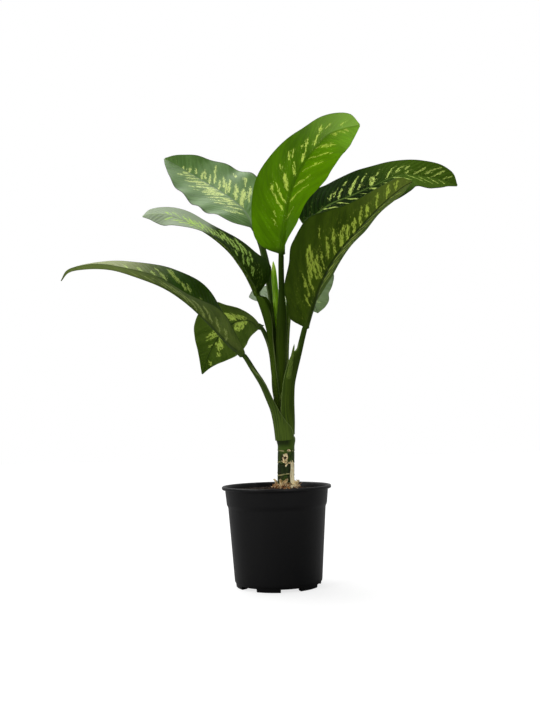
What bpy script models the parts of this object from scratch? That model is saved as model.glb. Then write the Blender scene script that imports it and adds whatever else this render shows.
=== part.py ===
"""Potted dieffenbachia: eight large leaves on a short ringed cane, in a black growers' pot.

Metres, +Z up. The origin is on the underside of the pot's centre pad, where the pot stands.
-Y is the front. Tables of places are in millimetres and are scaled when a mesh is made.
"""
import math

import bmesh
import bpy
import numpy as np

MM = 0.001
GAP = 0.3               # clearance between pieces that touch
TURN = 2 * math.pi

# Pot, a 19 cm growers' pot
POT_SIDES = 40
LIP_RADIUS = 95.0
LIP_TOP = 170.0
LIP_HEIGHT = 5.8
COLLAR_TOP_RADIUS = 89.6
COLLAR_FOOT_RADIUS = 87.0
COLLAR_FOOT = 139.0     # height of the step under the collar
WALL_TOP_RADIUS = 84.6
WALL_TOP = 133.5
WALL_FOOT_RADIUS = 75.4
WALL_FOOT = 9.0
WALL = 1.8
FOOT_RADIUS = 73.0
FOOT_RING_INNER = 60.0
BASE_UNDERSIDE = 6.0
BASE_TOP = 8.0
PAD_RADIUS = 16.0
NOTCHES = 6
NOTCH_HEIGHT = 5.4
NOTCH_ANGLE = math.radians(30)
NOTCH_FIRST = math.radians(-74)
DRAIN_CIRCLE = 46.0
DRAIN_RADIUS = 5.0

# Cane: heights and places of its axis, radius along it, and its scar rings
CANE_SIDES = 14
CANE_FOOT = 90.0
CANE_RADIUS = 14.6
CANE_AXIS = [(15.5, 0, 90), (16.5, 0, 165), (17.5, 0, 205), (18.5, 0, 248), (17, 0, 268),
             (14.5, 0, 290), (10.5, 0, 318), (8.5, 0, 345)]
CANE_TAPER = [(250, 14.6), (258, 13), (268, 10), (290, 6.5), (318, 4.6), (345, 3)]
SCAR_HEIGHTS = (189, 209, 230)
SCAR_RISE = 0.7
SCAR_HALF_WIDTH = 1.6

# Soil
SOIL_LEVEL = 160.0
SOIL_MOUND = 6.0
SOIL_MOUND_REACH = 34.0
SOIL_LUMP = 1.2

# Leaf form shared by every leaf
BLADE_EDGE = 0.8        # thickness at the margin
RIB_TIP = 1.4           # thickness of the midrib at the tip
COLUMNS = 4             # columns of faces on each side of the midrib
STALK_RINGS = 12
BLADE_RINGS = 17
YOUNG_STALK = dict(
    stalk_half=[(-1, 5), (-0.85, 7.5), (-0.5, 7.5), (-0.3, 5.5), (0, 4.8)],
    stalk_thickness=[(-1, 7), (-0.8, 8.5), (-0.3, 9), (0, 7.5)],
    stalk_curl=[(-1, 30), (-0.5, 25), (-0.3, 0), (0, 0)])
WIDE_STALK = dict(
    stalk_half=[(-1, 5), (-0.85, 7.5), (-0.3, 7.5), (-0.12, 6), (0, 5)],
    stalk_thickness=[(-1, 7), (-0.8, 8.5), (-0.2, 9), (0, 7.5)],
    stalk_curl=[(-1, 30), (-0.5, 25), (-0.3, 10), (0, 0)])

# Every leaf, oldest first. Places are millimetres from the pot's foot; "stalk" runs from the
# node on the cane to the blade and "rib" from there to the tip. Along the leaf, -1 is the node,
# 0 the foot of the blade and 1 the tip. "left" and "right" are the widths of the two halves of
# the blade, "facing" is where its upper face looks, "fold" is the degrees each half rises from
# flat and "curl" how much further a sheath's edge has turned up.
LEAVES = {
    "leaf_lower_left": dict(
        stalk=[(2.5, -6, 247), (0.5, -8, 272), (-3, -12, 295), (-9, -17, 316), (-20, -26, 344), (-36, -34, 371)],
        rib=[(-52, -42, 396), (-74, -46, 416), (-102, -52, 446), (-140, -62, 482), (-179, -70, 509),
             (-225, -76, 528), (-270, -82, 541), (-312, -86, 542), (-340, -88, 536), (-352, -88, 522)],
        facing=[(-1, (0.95, 0.3, 0.05)), (-0.5, (0.9, 0.4, 0.3)), (-0.1, (0.6, -0.1, 0.8)),
                (0.15, (0.4, -0.1, 0.9)), (0.4, (0.2, -0.4, 0.9)), (1, (-0.2, -0.15, 0.9))],
        left=[(0, 5), (0.05, 17), (0.1, 30), (0.2, 50), (0.3, 60), (0.4, 62), (0.5, 58), (0.6, 51), (0.7, 42),
              (0.8, 32), (0.88, 22), (0.94, 13), (1, 1)],
        right=[(0, 5), (0.05, 18), (0.1, 31), (0.2, 51), (0.3, 60), (0.4, 62), (0.5, 59), (0.6, 50), (0.7, 40),
               (0.8, 33), (0.88, 26), (0.94, 17), (1, 1)],
        fold_left=[(0, 55), (0.15, 35), (0.5, 26), (1, 10)],
        fold_right=[(0, 40), (0.5, 22), (1, 15)],
        stalk_half=[(-1, 38), (-0.9, 35), (-0.8, 24), (-0.66, 14), (-0.46, 9), (-0.27, 7.5), (-0.2, 5.4), (0, 4.8)],
        stalk_thickness=[(-1, 3.6), (-0.7, 5.5), (-0.5, 9), (-0.3, 9.5), (-0.15, 9), (0, 8)],
        stalk_curl=[(-1, 128), (-0.9, 118), (-0.8, 85), (-0.66, 58), (-0.46, 35), (-0.27, 25), (-0.2, 0), (0, 0)],
        wave=1.5, waves=3.0, wave_start=0.3),
    "leaf_front_right": dict(
        stalk=[(32, -4, 257), (31, -9, 275), (29.5, -13, 296), (29.5, -19, 322), (31, -26, 345),
               (36, -32, 368), (44, -42, 398)],
        rib=[(55, -55, 439), (67, -62, 474), (78, -72, 505), (106, -96, 552), (140, -122, 587),
             (181, -142, 625), (215, -154, 650), (228, -156, 656)],
        facing=[(-1, (-0.95, 0.3, 0.1)), (-0.7, (-0.6, 0.8, 0.15)), (-0.4, (-0.45, 0.8, 0.3)), (-0.1, (-0.5, 0.6, 0.6)),
                (0.3, (-0.4, 0.7, 0.5)), (1, (-0.3, 0.6, 0.8))],
        left=[(0, 5), (0.02, 24), (0.05, 38), (0.1, 52), (0.2, 67), (0.3, 75), (0.4, 74), (0.5, 70), (0.6, 70),
              (0.7, 66), (0.8, 58), (0.88, 52), (0.94, 44), (1, 2)],
        right=[(0, 5), (0.02, 31), (0.05, 41), (0.1, 48), (0.2, 62), (0.3, 70), (0.4, 82), (0.5, 80), (0.6, 58),
               (0.7, 39), (0.8, 28), (0.88, 22), (0.94, 18), (1, 2)],
        fold_left=[(0, 52), (0.3, 42), (0.5, 42), (0.7, 42), (0.9, 36), (1, 32)],
        fold_right=[(0, 10), (0.4, 5), (0.65, 28), (1, 35)],
        stalk_half=[(-1, 25), (-0.85, 14), (-0.7, 8), (-0.5, 6), (0, 5)],
        stalk_half_right=[(-1, 25), (-0.85, 22), (-0.7, 19), (-0.58, 17), (-0.4, 15.5), (-0.28, 15), (-0.19, 14),
                          (-0.15, 5.4), (0, 5)],
        stalk_thickness=[(-1, 3.2), (-0.8, 5), (-0.5, 8), (-0.3, 9), (0, 8)],
        stalk_curl=[(-1, 84), (-0.85, 60), (-0.7, 45), (-0.35, 30), (-0.15, 0), (0, 0)],
        wave=1.5, waves=2.5, wave_start=0.0),
    "leaf_hanging_left": dict(
        stalk=[(11, 10.4, 268), (8, 8.5, 290), (6, 7, 318), (4.2, 7.4, 340), (1, 9, 371), (-6, 8, 415)],
        rib=[(-21, 18, 450), (-39, 35, 467), (-63, 58, 469), (-87, 78, 458), (-107, 92, 437),
             (-123, 100, 408), (-135, 102, 374)],
        facing=[(-1, (0.4, -0.9, 0.1)), (-0.1, (0.5, -0.2, 0.8)), (0, (0.3, 0.3, 0.9)), (0.15, (0.1, 0.5, 0.85)),
                (0.35, (-0.2, 0.85, 0.5)), (0.6, (-0.4, 0.9, 0.2)), (1, (-0.4, 0.9, 0))],
        left=[(0, 4), (0.05, 22), (0.1, 34), (0.2, 50), (0.3, 54), (0.4, 58), (0.5, 60), (0.6, 56), (0.7, 43),
              (0.8, 26), (0.88, 15), (0.94, 8), (1, 1)],
        right=[(0, 4), (0.05, 18), (0.1, 27), (0.15, 32), (0.2, 36), (0.3, 40), (0.4, 46), (0.5, 53), (0.6, 56),
               (0.7, 51), (0.8, 36), (0.88, 20), (0.94, 9), (1, 1)],
        fold_left=[(0, 0), (0.2, -10), (0.4, 0), (0.7, -12), (1, -15)],
        fold_right=[(0, 40), (0.12, 15), (0.3, -5), (1, 0)],
        wave=2.0, waves=3.0, wave_start=0.5, **YOUNG_STALK),
    "leaf_back": dict(
        stalk=[(20.4, 9.5, 276), (16, 8.5, 296), (13.5, 7.5, 318), (12, 7.7, 340), (12, 11, 371),
               (11, 14, 415), (14, 22, 455)],
        rib=[(22, 40, 489), (36, 75, 507), (53, 115, 521), (70, 155, 523), (85, 190, 517), (94, 215, 502)],
        facing=[(-1, (-0.3, -0.9, 0.1)), (-0.1, (0, -0.7, 0.7)), (0.4, (0, -0.2, 1)), (1, (0.2, 0.2, 1))],
        left=[(0, 4), (0.02, 42), (0.05, 65), (0.1, 76), (0.2, 79), (0.3, 79), (0.4, 78), (0.5, 77), (0.6, 71),
              (0.7, 61), (0.8, 47), (0.88, 32), (0.94, 19), (1, 1)],
        right=[(0, 4), (0.02, 20), (0.05, 36), (0.1, 52), (0.2, 68), (0.3, 75), (0.4, 77), (0.5, 76), (0.6, 70),
               (0.7, 56), (0.8, 37), (0.88, 30), (0.94, 19), (1, 1)],
        fold_left=[(0, 0), (0.15, 5), (0.5, 15), (1, 0)],
        fold_right=[(0, 35), (0.5, 35), (1, 20)],
        wave=3.0, waves=3.5, wave_start=0.2, **YOUNG_STALK),
    "leaf_left": dict(
        stalk=[(8.3, -7, 284), (5.5, -6.5, 300), (4, -6, 318), (2.5, -6, 340), (0, -7, 371), (-3, -8.5, 415),
               (-11, -11, 458)],
        rib=[(-26, -14, 505), (-42, -15, 539), (-55, -17, 559), (-71, -19, 580), (-103, -23, 608),
             (-138, -26, 629), (-176, -28, 645), (-207, -30, 648), (-224, -30, 644)],
        facing=[(-1, (0.7, 0.7, 0.1)), (-0.1, (0.7, -0.3, 0.6)), (0.1, (0.5, -0.6, 0.6)), (0.5, (0.3, -0.5, 0.8)),
                (1, (0, -0.6, 0.8))],
        left=[(0, 4), (0.05, 30), (0.1, 40), (0.2, 50), (0.3, 53), (0.5, 54), (0.6, 50), (0.7, 43), (0.8, 37),
              (0.88, 26), (0.94, 16), (1, 1)],
        right=[(0, 4), (0.05, 26), (0.1, 44), (0.15, 52), (0.2, 54), (0.3, 57), (0.4, 60), (0.5, 61), (0.6, 60),
               (0.7, 57), (0.8, 50), (0.88, 40), (0.94, 28), (1, 2)],
        fold_left=[(0, 40), (0.3, 29), (0.55, 19), (0.75, 2), (0.9, -20), (1, -20)],
        fold_right=[(0, 45), (0.3, 5), (0.6, -4), (1, 0)],
        wave=1.0, waves=3.0, wave_start=0.0, **WIDE_STALK),
    "leaf_right": dict(
        stalk=[(24, 1.6, 290), (20.5, 1.5, 304), (18, 1.5, 318), (17, 1.5, 340), (21.5, 4, 371), (23.5, 6, 415),
               (26.5, 12, 454), (31, 22, 489), (40, 38, 547), (53, 50, 604)],
        rib=[(67, 60, 644), (91, 72, 671), (117, 85, 692), (156, 105, 712), (207, 122, 738), (261, 135, 761),
             (313, 142, 758), (350, 142, 749), (372, 140, 738)],
        facing=[(-1, (-0.95, -0.2, 0.1)), (-0.1, (-0.5, -0.6, 0.5)), (0.5, (-0.1, -0.6, 0.8)), (1, (0.3, -0.7, 0.7))],
        left=[(0, 4), (0.02, 17), (0.05, 33), (0.1, 46), (0.2, 60), (0.3, 66), (0.4, 72), (0.5, 70), (0.6, 60),
              (0.7, 48), (0.8, 43), (0.88, 38), (0.94, 28), (1, 2)],
        right=[(0, 4), (0.02, 20), (0.05, 34), (0.1, 47), (0.2, 61), (0.3, 67), (0.4, 69), (0.5, 70), (0.6, 69),
               (0.7, 67), (0.8, 61), (0.88, 47), (0.94, 28), (1, 2)],
        fold_left=[(0, 20), (0.6, 8), (0.8, 25), (1, 30)],
        fold_right=[(0, 10), (0.3, -12), (0.6, -5), (0.75, 3), (1, 0)],
        wave=1.5, waves=2.5, wave_start=0.6, **YOUNG_STALK),
    "leaf_upper_left": dict(
        stalk=[(4.6, 1.2, 296), (2.8, 1, 318), (0.5, 1.2, 340), (1, 2, 371), (2, 3, 415), (2, 9, 480),
               (-6, 20, 545), (-16, 30, 599)],
        rib=[(-30, 42, 638), (-46, 60, 673), (-67, 78, 700), (-95, 98, 726), (-137, 125, 760),
             (-178, 145, 791), (-208, 155, 812)],
        facing=[(-1, (0.95, -0.1, 0.1)), (-0.5, (0.6, -0.8, 0.1)), (-0.1, (0.3, -0.8, 0.4)), (0.5, (0.2, -0.7, 0.7)),
                (1, (0.1, -0.6, 0.8))],
        left=[(0, 4), (0.02, 22), (0.05, 42), (0.1, 56), (0.15, 63), (0.2, 67), (0.3, 73), (0.4, 73), (0.5, 68),
              (0.6, 63), (0.7, 57), (0.8, 45), (0.88, 31), (0.94, 19), (1, 2)],
        right=[(0, 4), (0.02, 20), (0.05, 36), (0.1, 50), (0.2, 64), (0.3, 72), (0.4, 75), (0.5, 70), (0.6, 66),
               (0.7, 57), (0.8, 46), (0.88, 31), (0.94, 20), (1, 2)],
        fold_left=[(0, 10), (0.5, -6), (1, 0)],
        fold_right=[(0, 20), (0.6, 18), (1, 45)],
        wave=2.0, waves=3.5, wave_start=0.4, **WIDE_STALK),
    "leaf_centre": dict(
        stalk=[(16, -7.7, 302), (13.8, -7.6, 318), (12, -7.7, 340), (13, -9, 371), (14, -11, 415), (16, -15, 457),
               (17, -18, 500)],
        rib=[(18, -26, 573), (25, -40, 631), (36, -58, 675), (55, -78, 711), (76, -98, 734),
             (99, -118, 751), (124, -132, 756), (149, -142, 757)],
        facing=[(-1, (-0.4, 0.9, 0.1)), (-0.1, (0, 1, 0.2)), (0.4, (-0.2, 0.9, 0.4)), (1, (-0.2, 0.8, 0.6))],
        left=[(0, 4), (0.02, 14), (0.05, 20), (0.1, 34), (0.15, 52), (0.2, 66), (0.3, 72), (0.4, 76), (0.5, 76),
              (0.6, 66), (0.7, 56), (0.8, 48), (0.88, 38), (0.94, 24), (1, 2)],
        right=[(0, 4), (0.02, 24), (0.05, 39), (0.1, 50), (0.2, 58), (0.3, 62), (0.4, 64), (0.5, 62), (0.6, 58),
               (0.7, 49), (0.8, 39), (0.88, 27), (0.94, 19), (1, 2)],
        fold_left=[(0, 75), (0.2, 60), (0.5, 34), (0.8, 15), (1, 10)],
        fold_right=[(0, 0), (0.3, 14), (0.5, 40), (0.75, 66), (1, 60)],
        wave=1.5, waves=3.0, wave_start=0.1, **YOUNG_STALK),
}

# New leaf, still rolled: places and radii up its length
SPEAR_PATH = [(8.7, 0, 343), (9, -1, 415), (8, -4, 470), (6, -5, 515), (3.5, -6, 564)]
SPEAR_RADII = [(0, 2.2), (0.3, 2.6), (0.6, 5.0), (0.75, 5.0), (0.9, 3.2), (1, 0.6)]
SPEAR_SIDES = 8

# Fibres and husk round the foot of the cane, and the dried sheath that stands off its right side
TUFT_COLUMNS = 30
TUFT_REACH = (8.0, 3.2)     # mean width of the husk and how much it varies
TUFT_HEIGHT = 5.0
ROOTS = 8
ROOT_LENGTH = 15.0
ROOT_RADIUS = 1.3
DRY_SHEATH_AZIMUTH = math.radians(-22)
DRY_SHEATH_SPAN = (178.0, 212.0)
DRY_SHEATH_HALF = 4.5
DRY_SHEATH_THICKNESS = 1.0
DRY_SHEATH_LIFT = 3.0       # how far its upper end bends away from the cane


def clear_scene():
    for obj in list(bpy.data.objects):
        bpy.data.objects.remove(obj, do_unlink=True)


def material(name, colour, roughness, metallic=0.0):
    made = bpy.data.materials.new(name)
    made.use_nodes = True
    shader = made.node_tree.nodes["Principled BSDF"]
    shader.inputs["Base Color"].default_value = (*colour, 1)
    shader.inputs["Roughness"].default_value = roughness
    shader.inputs["Metallic"].default_value = metallic
    made.diffuse_color = (*colour, 1)
    return made


def mesh_object(name, points, faces, finish):
    """An object from points in millimetres, with its normals made to point out."""
    mesh = bpy.data.meshes.new(name)
    mesh.from_pydata([tuple(p) for p in np.asarray(points) * MM], [], faces)
    shape = bmesh.new()
    shape.from_mesh(mesh)
    bmesh.ops.recalc_face_normals(shape, faces=shape.faces)
    shape.to_mesh(mesh)
    shape.free()
    mesh.materials.append(finish)
    mesh.shade_smooth()
    mesh.set_sharp_from_angle(angle=math.radians(50))
    obj = bpy.data.objects.new(name, mesh)
    bpy.context.collection.objects.link(obj)
    return obj


def rings_to_faces(ring_count, sides, cap_ends=True):
    """Triangles of a closed tube whose rings follow one another in the list of points."""
    faces = []
    for ring in range(ring_count - 1):
        for side in range(sides):
            a = ring * sides + side
            b = ring * sides + (side + 1) % sides
            faces += [(a, b, b + sides), (a, b + sides, a + sides)]
    if cap_ends:
        faces.append(tuple(reversed(range(sides))))
        faces.append(tuple(range((ring_count - 1) * sides, ring_count * sides)))
    return faces


def combine(target, others, operation):
    """Applies one Boolean of target with all the others, and removes the others."""
    group = bpy.data.collections.new("operands")
    for other in others:
        bpy.context.collection.objects.unlink(other)
        group.objects.link(other)
    step = target.modifiers.new(operation.lower(), "BOOLEAN")
    step.operation = operation
    step.operand_type = "COLLECTION"
    step.collection = group
    step.solver = "EXACT"
    bpy.context.view_layer.update()
    seen = target.evaluated_get(bpy.context.evaluated_depsgraph_get())
    result = bpy.data.meshes.new_from_object(seen)
    target.modifiers.clear()
    target.data = result
    for other in others:
        bpy.data.objects.remove(other, do_unlink=True)
    bpy.data.collections.remove(group)


def tidy(obj):
    """Keeps the largest connected body of a mesh, in triangles."""
    shape = bmesh.new()
    shape.from_mesh(obj.data)
    bmesh.ops.remove_doubles(shape, verts=shape.verts, dist=0.00002)
    bmesh.ops.dissolve_degenerate(shape, edges=shape.edges, dist=0.00001)
    shape.verts.ensure_lookup_table()
    unseen = set(shape.verts)
    bodies = []
    while unseen:
        front = [unseen.pop()]
        body = set(front)
        while front:
            vert = front.pop()
            for edge in vert.link_edges:
                other = edge.other_vert(vert)
                if other in unseen:
                    unseen.discard(other)
                    body.add(other)
                    front.append(other)
        bodies.append(body)
    bodies.sort(key=len)
    for scrap in bodies[:-1]:
        bmesh.ops.delete(shape, geom=list(scrap), context="VERTS")
    bmesh.ops.triangulate(shape, faces=shape.faces)
    shape.to_mesh(obj.data)
    shape.free()


def between(stations, places):
    """Smooth values, with no overshoot, read from (place, value) pairs."""
    at = np.array([s[0] for s in stations], float)
    value = np.array([s[1] for s in stations], float).reshape(len(stations), -1)
    places = np.clip(np.atleast_1d(np.asarray(places, float)), at[0], at[-1])
    width = np.diff(at)[:, None]
    slope = np.diff(value, axis=0) / width
    bend = np.zeros_like(value)
    bend[0], bend[-1] = slope[0], slope[-1]
    for i in range(1, len(at) - 1):
        weight_a = 2 * width[i] + width[i - 1]
        weight_b = width[i] + 2 * width[i - 1]
        for axis in range(value.shape[1]):
            before, after = slope[i - 1][axis], slope[i][axis]
            if before * after > 0:
                bend[i][axis] = (weight_a[0] + weight_b[0]) / (weight_a[0] / before + weight_b[0] / after)
    span = np.clip(np.searchsorted(at, places, side="right") - 1, 0, len(at) - 2)
    step = width[span]
    u = (places - at[span])[:, None] / step
    result = ((1 + 2 * u) * (1 - u) ** 2 * value[span] + u * (1 - u) ** 2 * step * bend[span]
              + u * u * (3 - 2 * u) * value[span + 1] + u * u * (u - 1) * step * bend[span + 1])
    return result[:, 0] if result.shape[1] == 1 else result


def smooth_path(points, per_span=24):
    """A centripetal Catmull-Rom curve through the points, and where each point lies in it."""
    given = np.array(points, float)
    padded = np.vstack([2 * given[0] - given[1], given, 2 * given[-1] - given[-2]])
    curve, marks = [], []
    for i in range(1, len(padded) - 2):
        p0, p1, p2, p3 = padded[i - 1:i + 3]
        k = [0.0]
        for a, b in ((p0, p1), (p1, p2), (p2, p3)):
            k.append(k[-1] + math.sqrt(np.linalg.norm(b - a)))
        t = np.linspace(k[1], k[2], per_span, endpoint=False)[:, None]
        a1 = (k[1] - t) / (k[1] - k[0]) * p0 + (t - k[0]) / (k[1] - k[0]) * p1
        a2 = (k[2] - t) / (k[2] - k[1]) * p1 + (t - k[1]) / (k[2] - k[1]) * p2
        a3 = (k[3] - t) / (k[3] - k[2]) * p2 + (t - k[2]) / (k[3] - k[2]) * p3
        b1 = (k[2] - t) / (k[2] - k[0]) * a1 + (t - k[0]) / (k[2] - k[0]) * a2
        b2 = (k[3] - t) / (k[3] - k[1]) * a2 + (t - k[1]) / (k[3] - k[1]) * a3
        marks.append(len(curve))
        curve.extend((k[2] - t) / (k[2] - k[1]) * b1 + (t - k[1]) / (k[2] - k[1]) * b2)
    marks.append(len(curve))
    curve.append(given[-1])
    return np.array(curve), marks


def arc_lengths(curve):
    return np.concatenate([[0], np.cumsum(np.linalg.norm(np.diff(curve, axis=0), axis=1))])


def read_curve(curve, arcs, lengths):
    return np.stack([np.interp(lengths, arcs, curve[:, axis]) for axis in range(3)], 1)


def unit(vectors):
    return vectors / np.linalg.norm(vectors, axis=-1, keepdims=True)


def leaf_frames(leaf, places):
    """Centre, forward, right and upper directions of a leaf at places from -1 (node) to 1 (tip)."""
    curve, marks = smooth_path(leaf["stalk"] + leaf["rib"])
    arcs = arc_lengths(curve)
    foot = arcs[marks[len(leaf["stalk"])]]
    total = arcs[-1]
    lengths = np.where(places <= 0, (places + 1) * foot, foot + places * (total - foot))
    reach = 2.0
    centre = read_curve(curve, arcs, lengths)
    ahead = read_curve(curve, arcs, np.clip(lengths + reach, 0, total))
    behind = read_curve(curve, arcs, np.clip(lengths - reach, 0, total))
    forward = unit(ahead - behind)
    facing = unit(between(leaf["facing"], places))
    upper = unit(facing - (facing * forward).sum(1, keepdims=True) * forward)
    return centre, forward, np.cross(forward, upper), upper


def half_section(leaf, place, side, grow):
    """Across one half of a leaf, from the midrib out: distances along and up from the centre
    of the middle surface, its slope, and the thicknesses above and below it."""
    steps = np.arange(COLUMNS + 1) / COLUMNS
    if place < 0:
        widths = leaf.get("stalk_half_" + side, leaf["stalk_half"])
        half = float(between(widths, place)[0])
        thick = float(between(leaf["stalk_thickness"], place)[0])
        curl = math.radians(float(between(leaf["stalk_curl"], place)[0]))
        across = half * np.sin(steps * math.pi / 2)
        edge = min(BLADE_EDGE, thick)
        depth = edge + (thick - edge) * np.cos(steps * math.pi / 2)
        above = below = depth / 2
        fold = 0.0
        lift = 0 * steps
    else:
        rib_half = float(between([(0, leaf["stalk_half"][-1][1]), (0.3, 3.2), (1, 1.2)], place)[0])
        half = max(float(between(leaf[side], place)[0]), rib_half * 1.01)
        thick = float(between([(0, leaf["stalk_thickness"][-1][1]), (0.3, 4.6), (0.7, 2.4), (1, RIB_TIP)], place)[0])
        spread = np.array([0, 0.8] + list(np.linspace(1.8, 1.8 + COLUMNS - 2, COLUMNS - 1)))
        inner = np.minimum(spread[:3] * rib_half, half * np.array([0, 0.3, 0.6]))
        across = np.concatenate([inner[:2], np.linspace(inner[2], half, COLUMNS - 1)])
        above = np.full(COLUMNS + 1, BLADE_EDGE / 2)
        below = BLADE_EDGE / 2 + (thick - BLADE_EDGE) * np.exp(-(across / (0.9 * rib_half)) ** 2)
        fold = math.radians(float(between(leaf["fold_" + side], place)[0]))
        curl = 0.0
        phase = leaf["wave_start"] + (0.25 if side == "left" else 0.0)
        swell = math.sin(TURN * (leaf["waves"] * place + phase)) * min(1, place * 5) * (1 - place ** 3)
        lift = leaf["wave"] * swell * (across / max(half, 30)) ** 2
    slope = fold + curl * across / max(across[-1], 1e-6)
    along, up = np.zeros(COLUMNS + 1), np.zeros(COLUMNS + 1)
    for k in range(COLUMNS):
        step = across[k + 1] - across[k] + (grow if k == COLUMNS - 1 else 0)
        middle = (slope[k] + slope[k + 1]) / 2
        along[k + 1] = along[k] + step * math.cos(middle)
        up[k + 1] = up[k] + step * math.sin(middle)
    up = up + lift
    return along, up, slope, above + grow, below + grow


def leaf_rings(leaf, places, grow=0.0):
    """Upper and lower points across the leaf at each place, left edge to right edge."""
    centre, forward, right, upper = leaf_frames(leaf, places)
    centre[0] -= forward[0] * grow
    rings = []
    for i, place in enumerate(places):
        sides = {}
        for side, sign in (("left", -1), ("right", 1)):
            along, up, slope, above, below = half_section(leaf, place, side, grow)
            mid = centre[i] + sign * along[:, None] * right[i] + up[:, None] * upper[i]
            normal = -sign * np.sin(slope)[:, None] * right[i] + np.cos(slope)[:, None] * upper[i]
            sides[side] = (mid + normal * above[:, None], mid - normal * below[:, None])
        left, other = sides["left"], sides["right"]
        centre_top = centre[i] + upper[i] * (above[0])
        centre_low = centre[i] - upper[i] * (below[0])
        top = np.vstack([left[0][:0:-1], centre_top, other[0][1:]])
        low = np.vstack([left[1][:0:-1], centre_low, other[1][1:]])
        rings.append((top, low))
    return rings


def leaf_faces(ring_count, across):
    """Triangles of the leaf, split alike on both faces, its edges and its two ends."""
    def top(ring, column):
        return ring * 2 * across + column

    def low(ring, column):
        return ring * 2 * across + across + column

    faces = []
    for ring in range(ring_count - 1):
        for column in range(across - 1):
            faces += [(top(ring, column), top(ring, column + 1), top(ring + 1, column + 1)),
                      (top(ring, column), top(ring + 1, column + 1), top(ring + 1, column)),
                      (low(ring, column), low(ring + 1, column + 1), low(ring, column + 1)),
                      (low(ring, column), low(ring + 1, column), low(ring + 1, column + 1))]
        last = across - 1
        faces += [(top(ring, 0), top(ring + 1, 0), low(ring + 1, 0)), (top(ring, 0), low(ring + 1, 0), low(ring, 0)),
                  (top(ring, last), low(ring, last), low(ring + 1, last)),
                  (top(ring, last), low(ring + 1, last), top(ring + 1, last))]
    end = ring_count - 1
    for column in range(across - 1):
        faces += [(top(0, column), low(0, column), low(0, column + 1)),
                  (top(0, column), low(0, column + 1), top(0, column + 1)),
                  (top(end, column), low(end, column + 1), low(end, column)),
                  (top(end, column), top(end, column + 1), low(end, column + 1))]
    return faces


def leaf_solid(name, leaf, finish, places, grow=0.0):
    rings = leaf_rings(leaf, places, grow)
    points = np.vstack([np.vstack(ring) for ring in rings])
    return mesh_object(name, points, leaf_faces(len(places), 2 * COLUMNS + 1), finish)


def blade_places():
    """Places along the blade, closer together at its foot and its tip."""
    even = np.linspace(0, 1, BLADE_RINGS)
    eased = even - 0.09 * np.sin(TURN * even)
    return eased


def make_leaves(finish):
    """Builds every leaf, then cuts from each the room its younger neighbours and the cane take."""
    stalk = np.linspace(-1, -0.03, STALK_RINGS)
    whole = np.concatenate([stalk, blade_places()])
    inner = whole[:STALK_RINGS + 3]
    names = list(LEAVES)
    made = []
    for i, name in enumerate(names):
        obj = leaf_solid(name, LEAVES[name], finish, whole)
        cutters = [leaf_solid("cut_" + other, LEAVES[other], finish, inner, GAP) for other in names[i + 1:]]
        cutters.append(make_spear(finish, "cut_spear", GAP))
        cutters.append(make_cane(finish, "cut_cane", GAP))
        combine(obj, cutters, "DIFFERENCE")
        tidy(obj)
        made.append(obj)
    return made


def tube_solid(name, path, radius_at, sides, rings, finish, grow=0.0, ends=0.0):
    """A round piece along a smooth path. radius_at gives the radius for a share of the length."""
    curve, _ = smooth_path(path)
    arcs = arc_lengths(curve)
    shares = np.asarray(rings, float)
    lengths = shares * arcs[-1]
    centre = read_curve(curve, arcs, lengths)
    ahead = read_curve(curve, arcs, np.clip(lengths + 2, 0, arcs[-1]))
    behind = read_curve(curve, arcs, np.clip(lengths - 2, 0, arcs[-1]))
    forward = unit(ahead - behind)
    centre[0] -= forward[0] * ends
    centre[-1] += forward[-1] * ends
    across = unit(np.cross(forward, [0.0, 1.0, 0.0]))
    deep = np.cross(forward, across)
    points = []
    for i, share in enumerate(shares):
        radius = radius_at(share, centre[i]) + grow
        for side in range(sides):
            angle = TURN * side / sides
            points.append(centre[i] + radius * (math.cos(angle) * across[i] + math.sin(angle) * deep[i]))
    return mesh_object(name, np.array(points), rings_to_faces(len(shares), sides), finish)


def make_spear(finish, name="new_leaf", grow=0.0):
    def radius(share, _):
        return float(between(SPEAR_RADII, share)[0])

    return tube_solid(name, SPEAR_PATH, radius, SPEAR_SIDES, np.linspace(0, 1, 12), finish, grow, grow)


def cane_radius(height):
    """Radius of the cane, with a low ring at each old leaf scar."""
    radius = CANE_RADIUS if height < CANE_TAPER[0][0] else float(between(CANE_TAPER, height)[0])
    for scar in SCAR_HEIGHTS:
        radius += SCAR_RISE * math.exp(-((height - scar) / SCAR_HALF_WIDTH) ** 2)
    return radius


def make_cane(finish, name="cane", grow=0.0):
    heights = [CANE_FOOT, 130, 165, 178]
    for scar in SCAR_HEIGHTS:
        heights += [scar - 3, scar, scar + 3]
    heights += [242, 250, 258, 266, 278, 290, 304, 318, 332, 345]
    low, high = CANE_FOOT, CANE_AXIS[-1][2]
    curve, _ = smooth_path(CANE_AXIS)
    arcs = arc_lengths(curve)
    shares = [float(np.interp(h, curve[:, 2], arcs)) / arcs[-1] for h in heights if low <= h <= high]

    def radius(_, centre):
        return cane_radius(centre[2])

    return tube_solid(name, CANE_AXIS, radius, CANE_SIDES, shares, finish, grow, grow)


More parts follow.
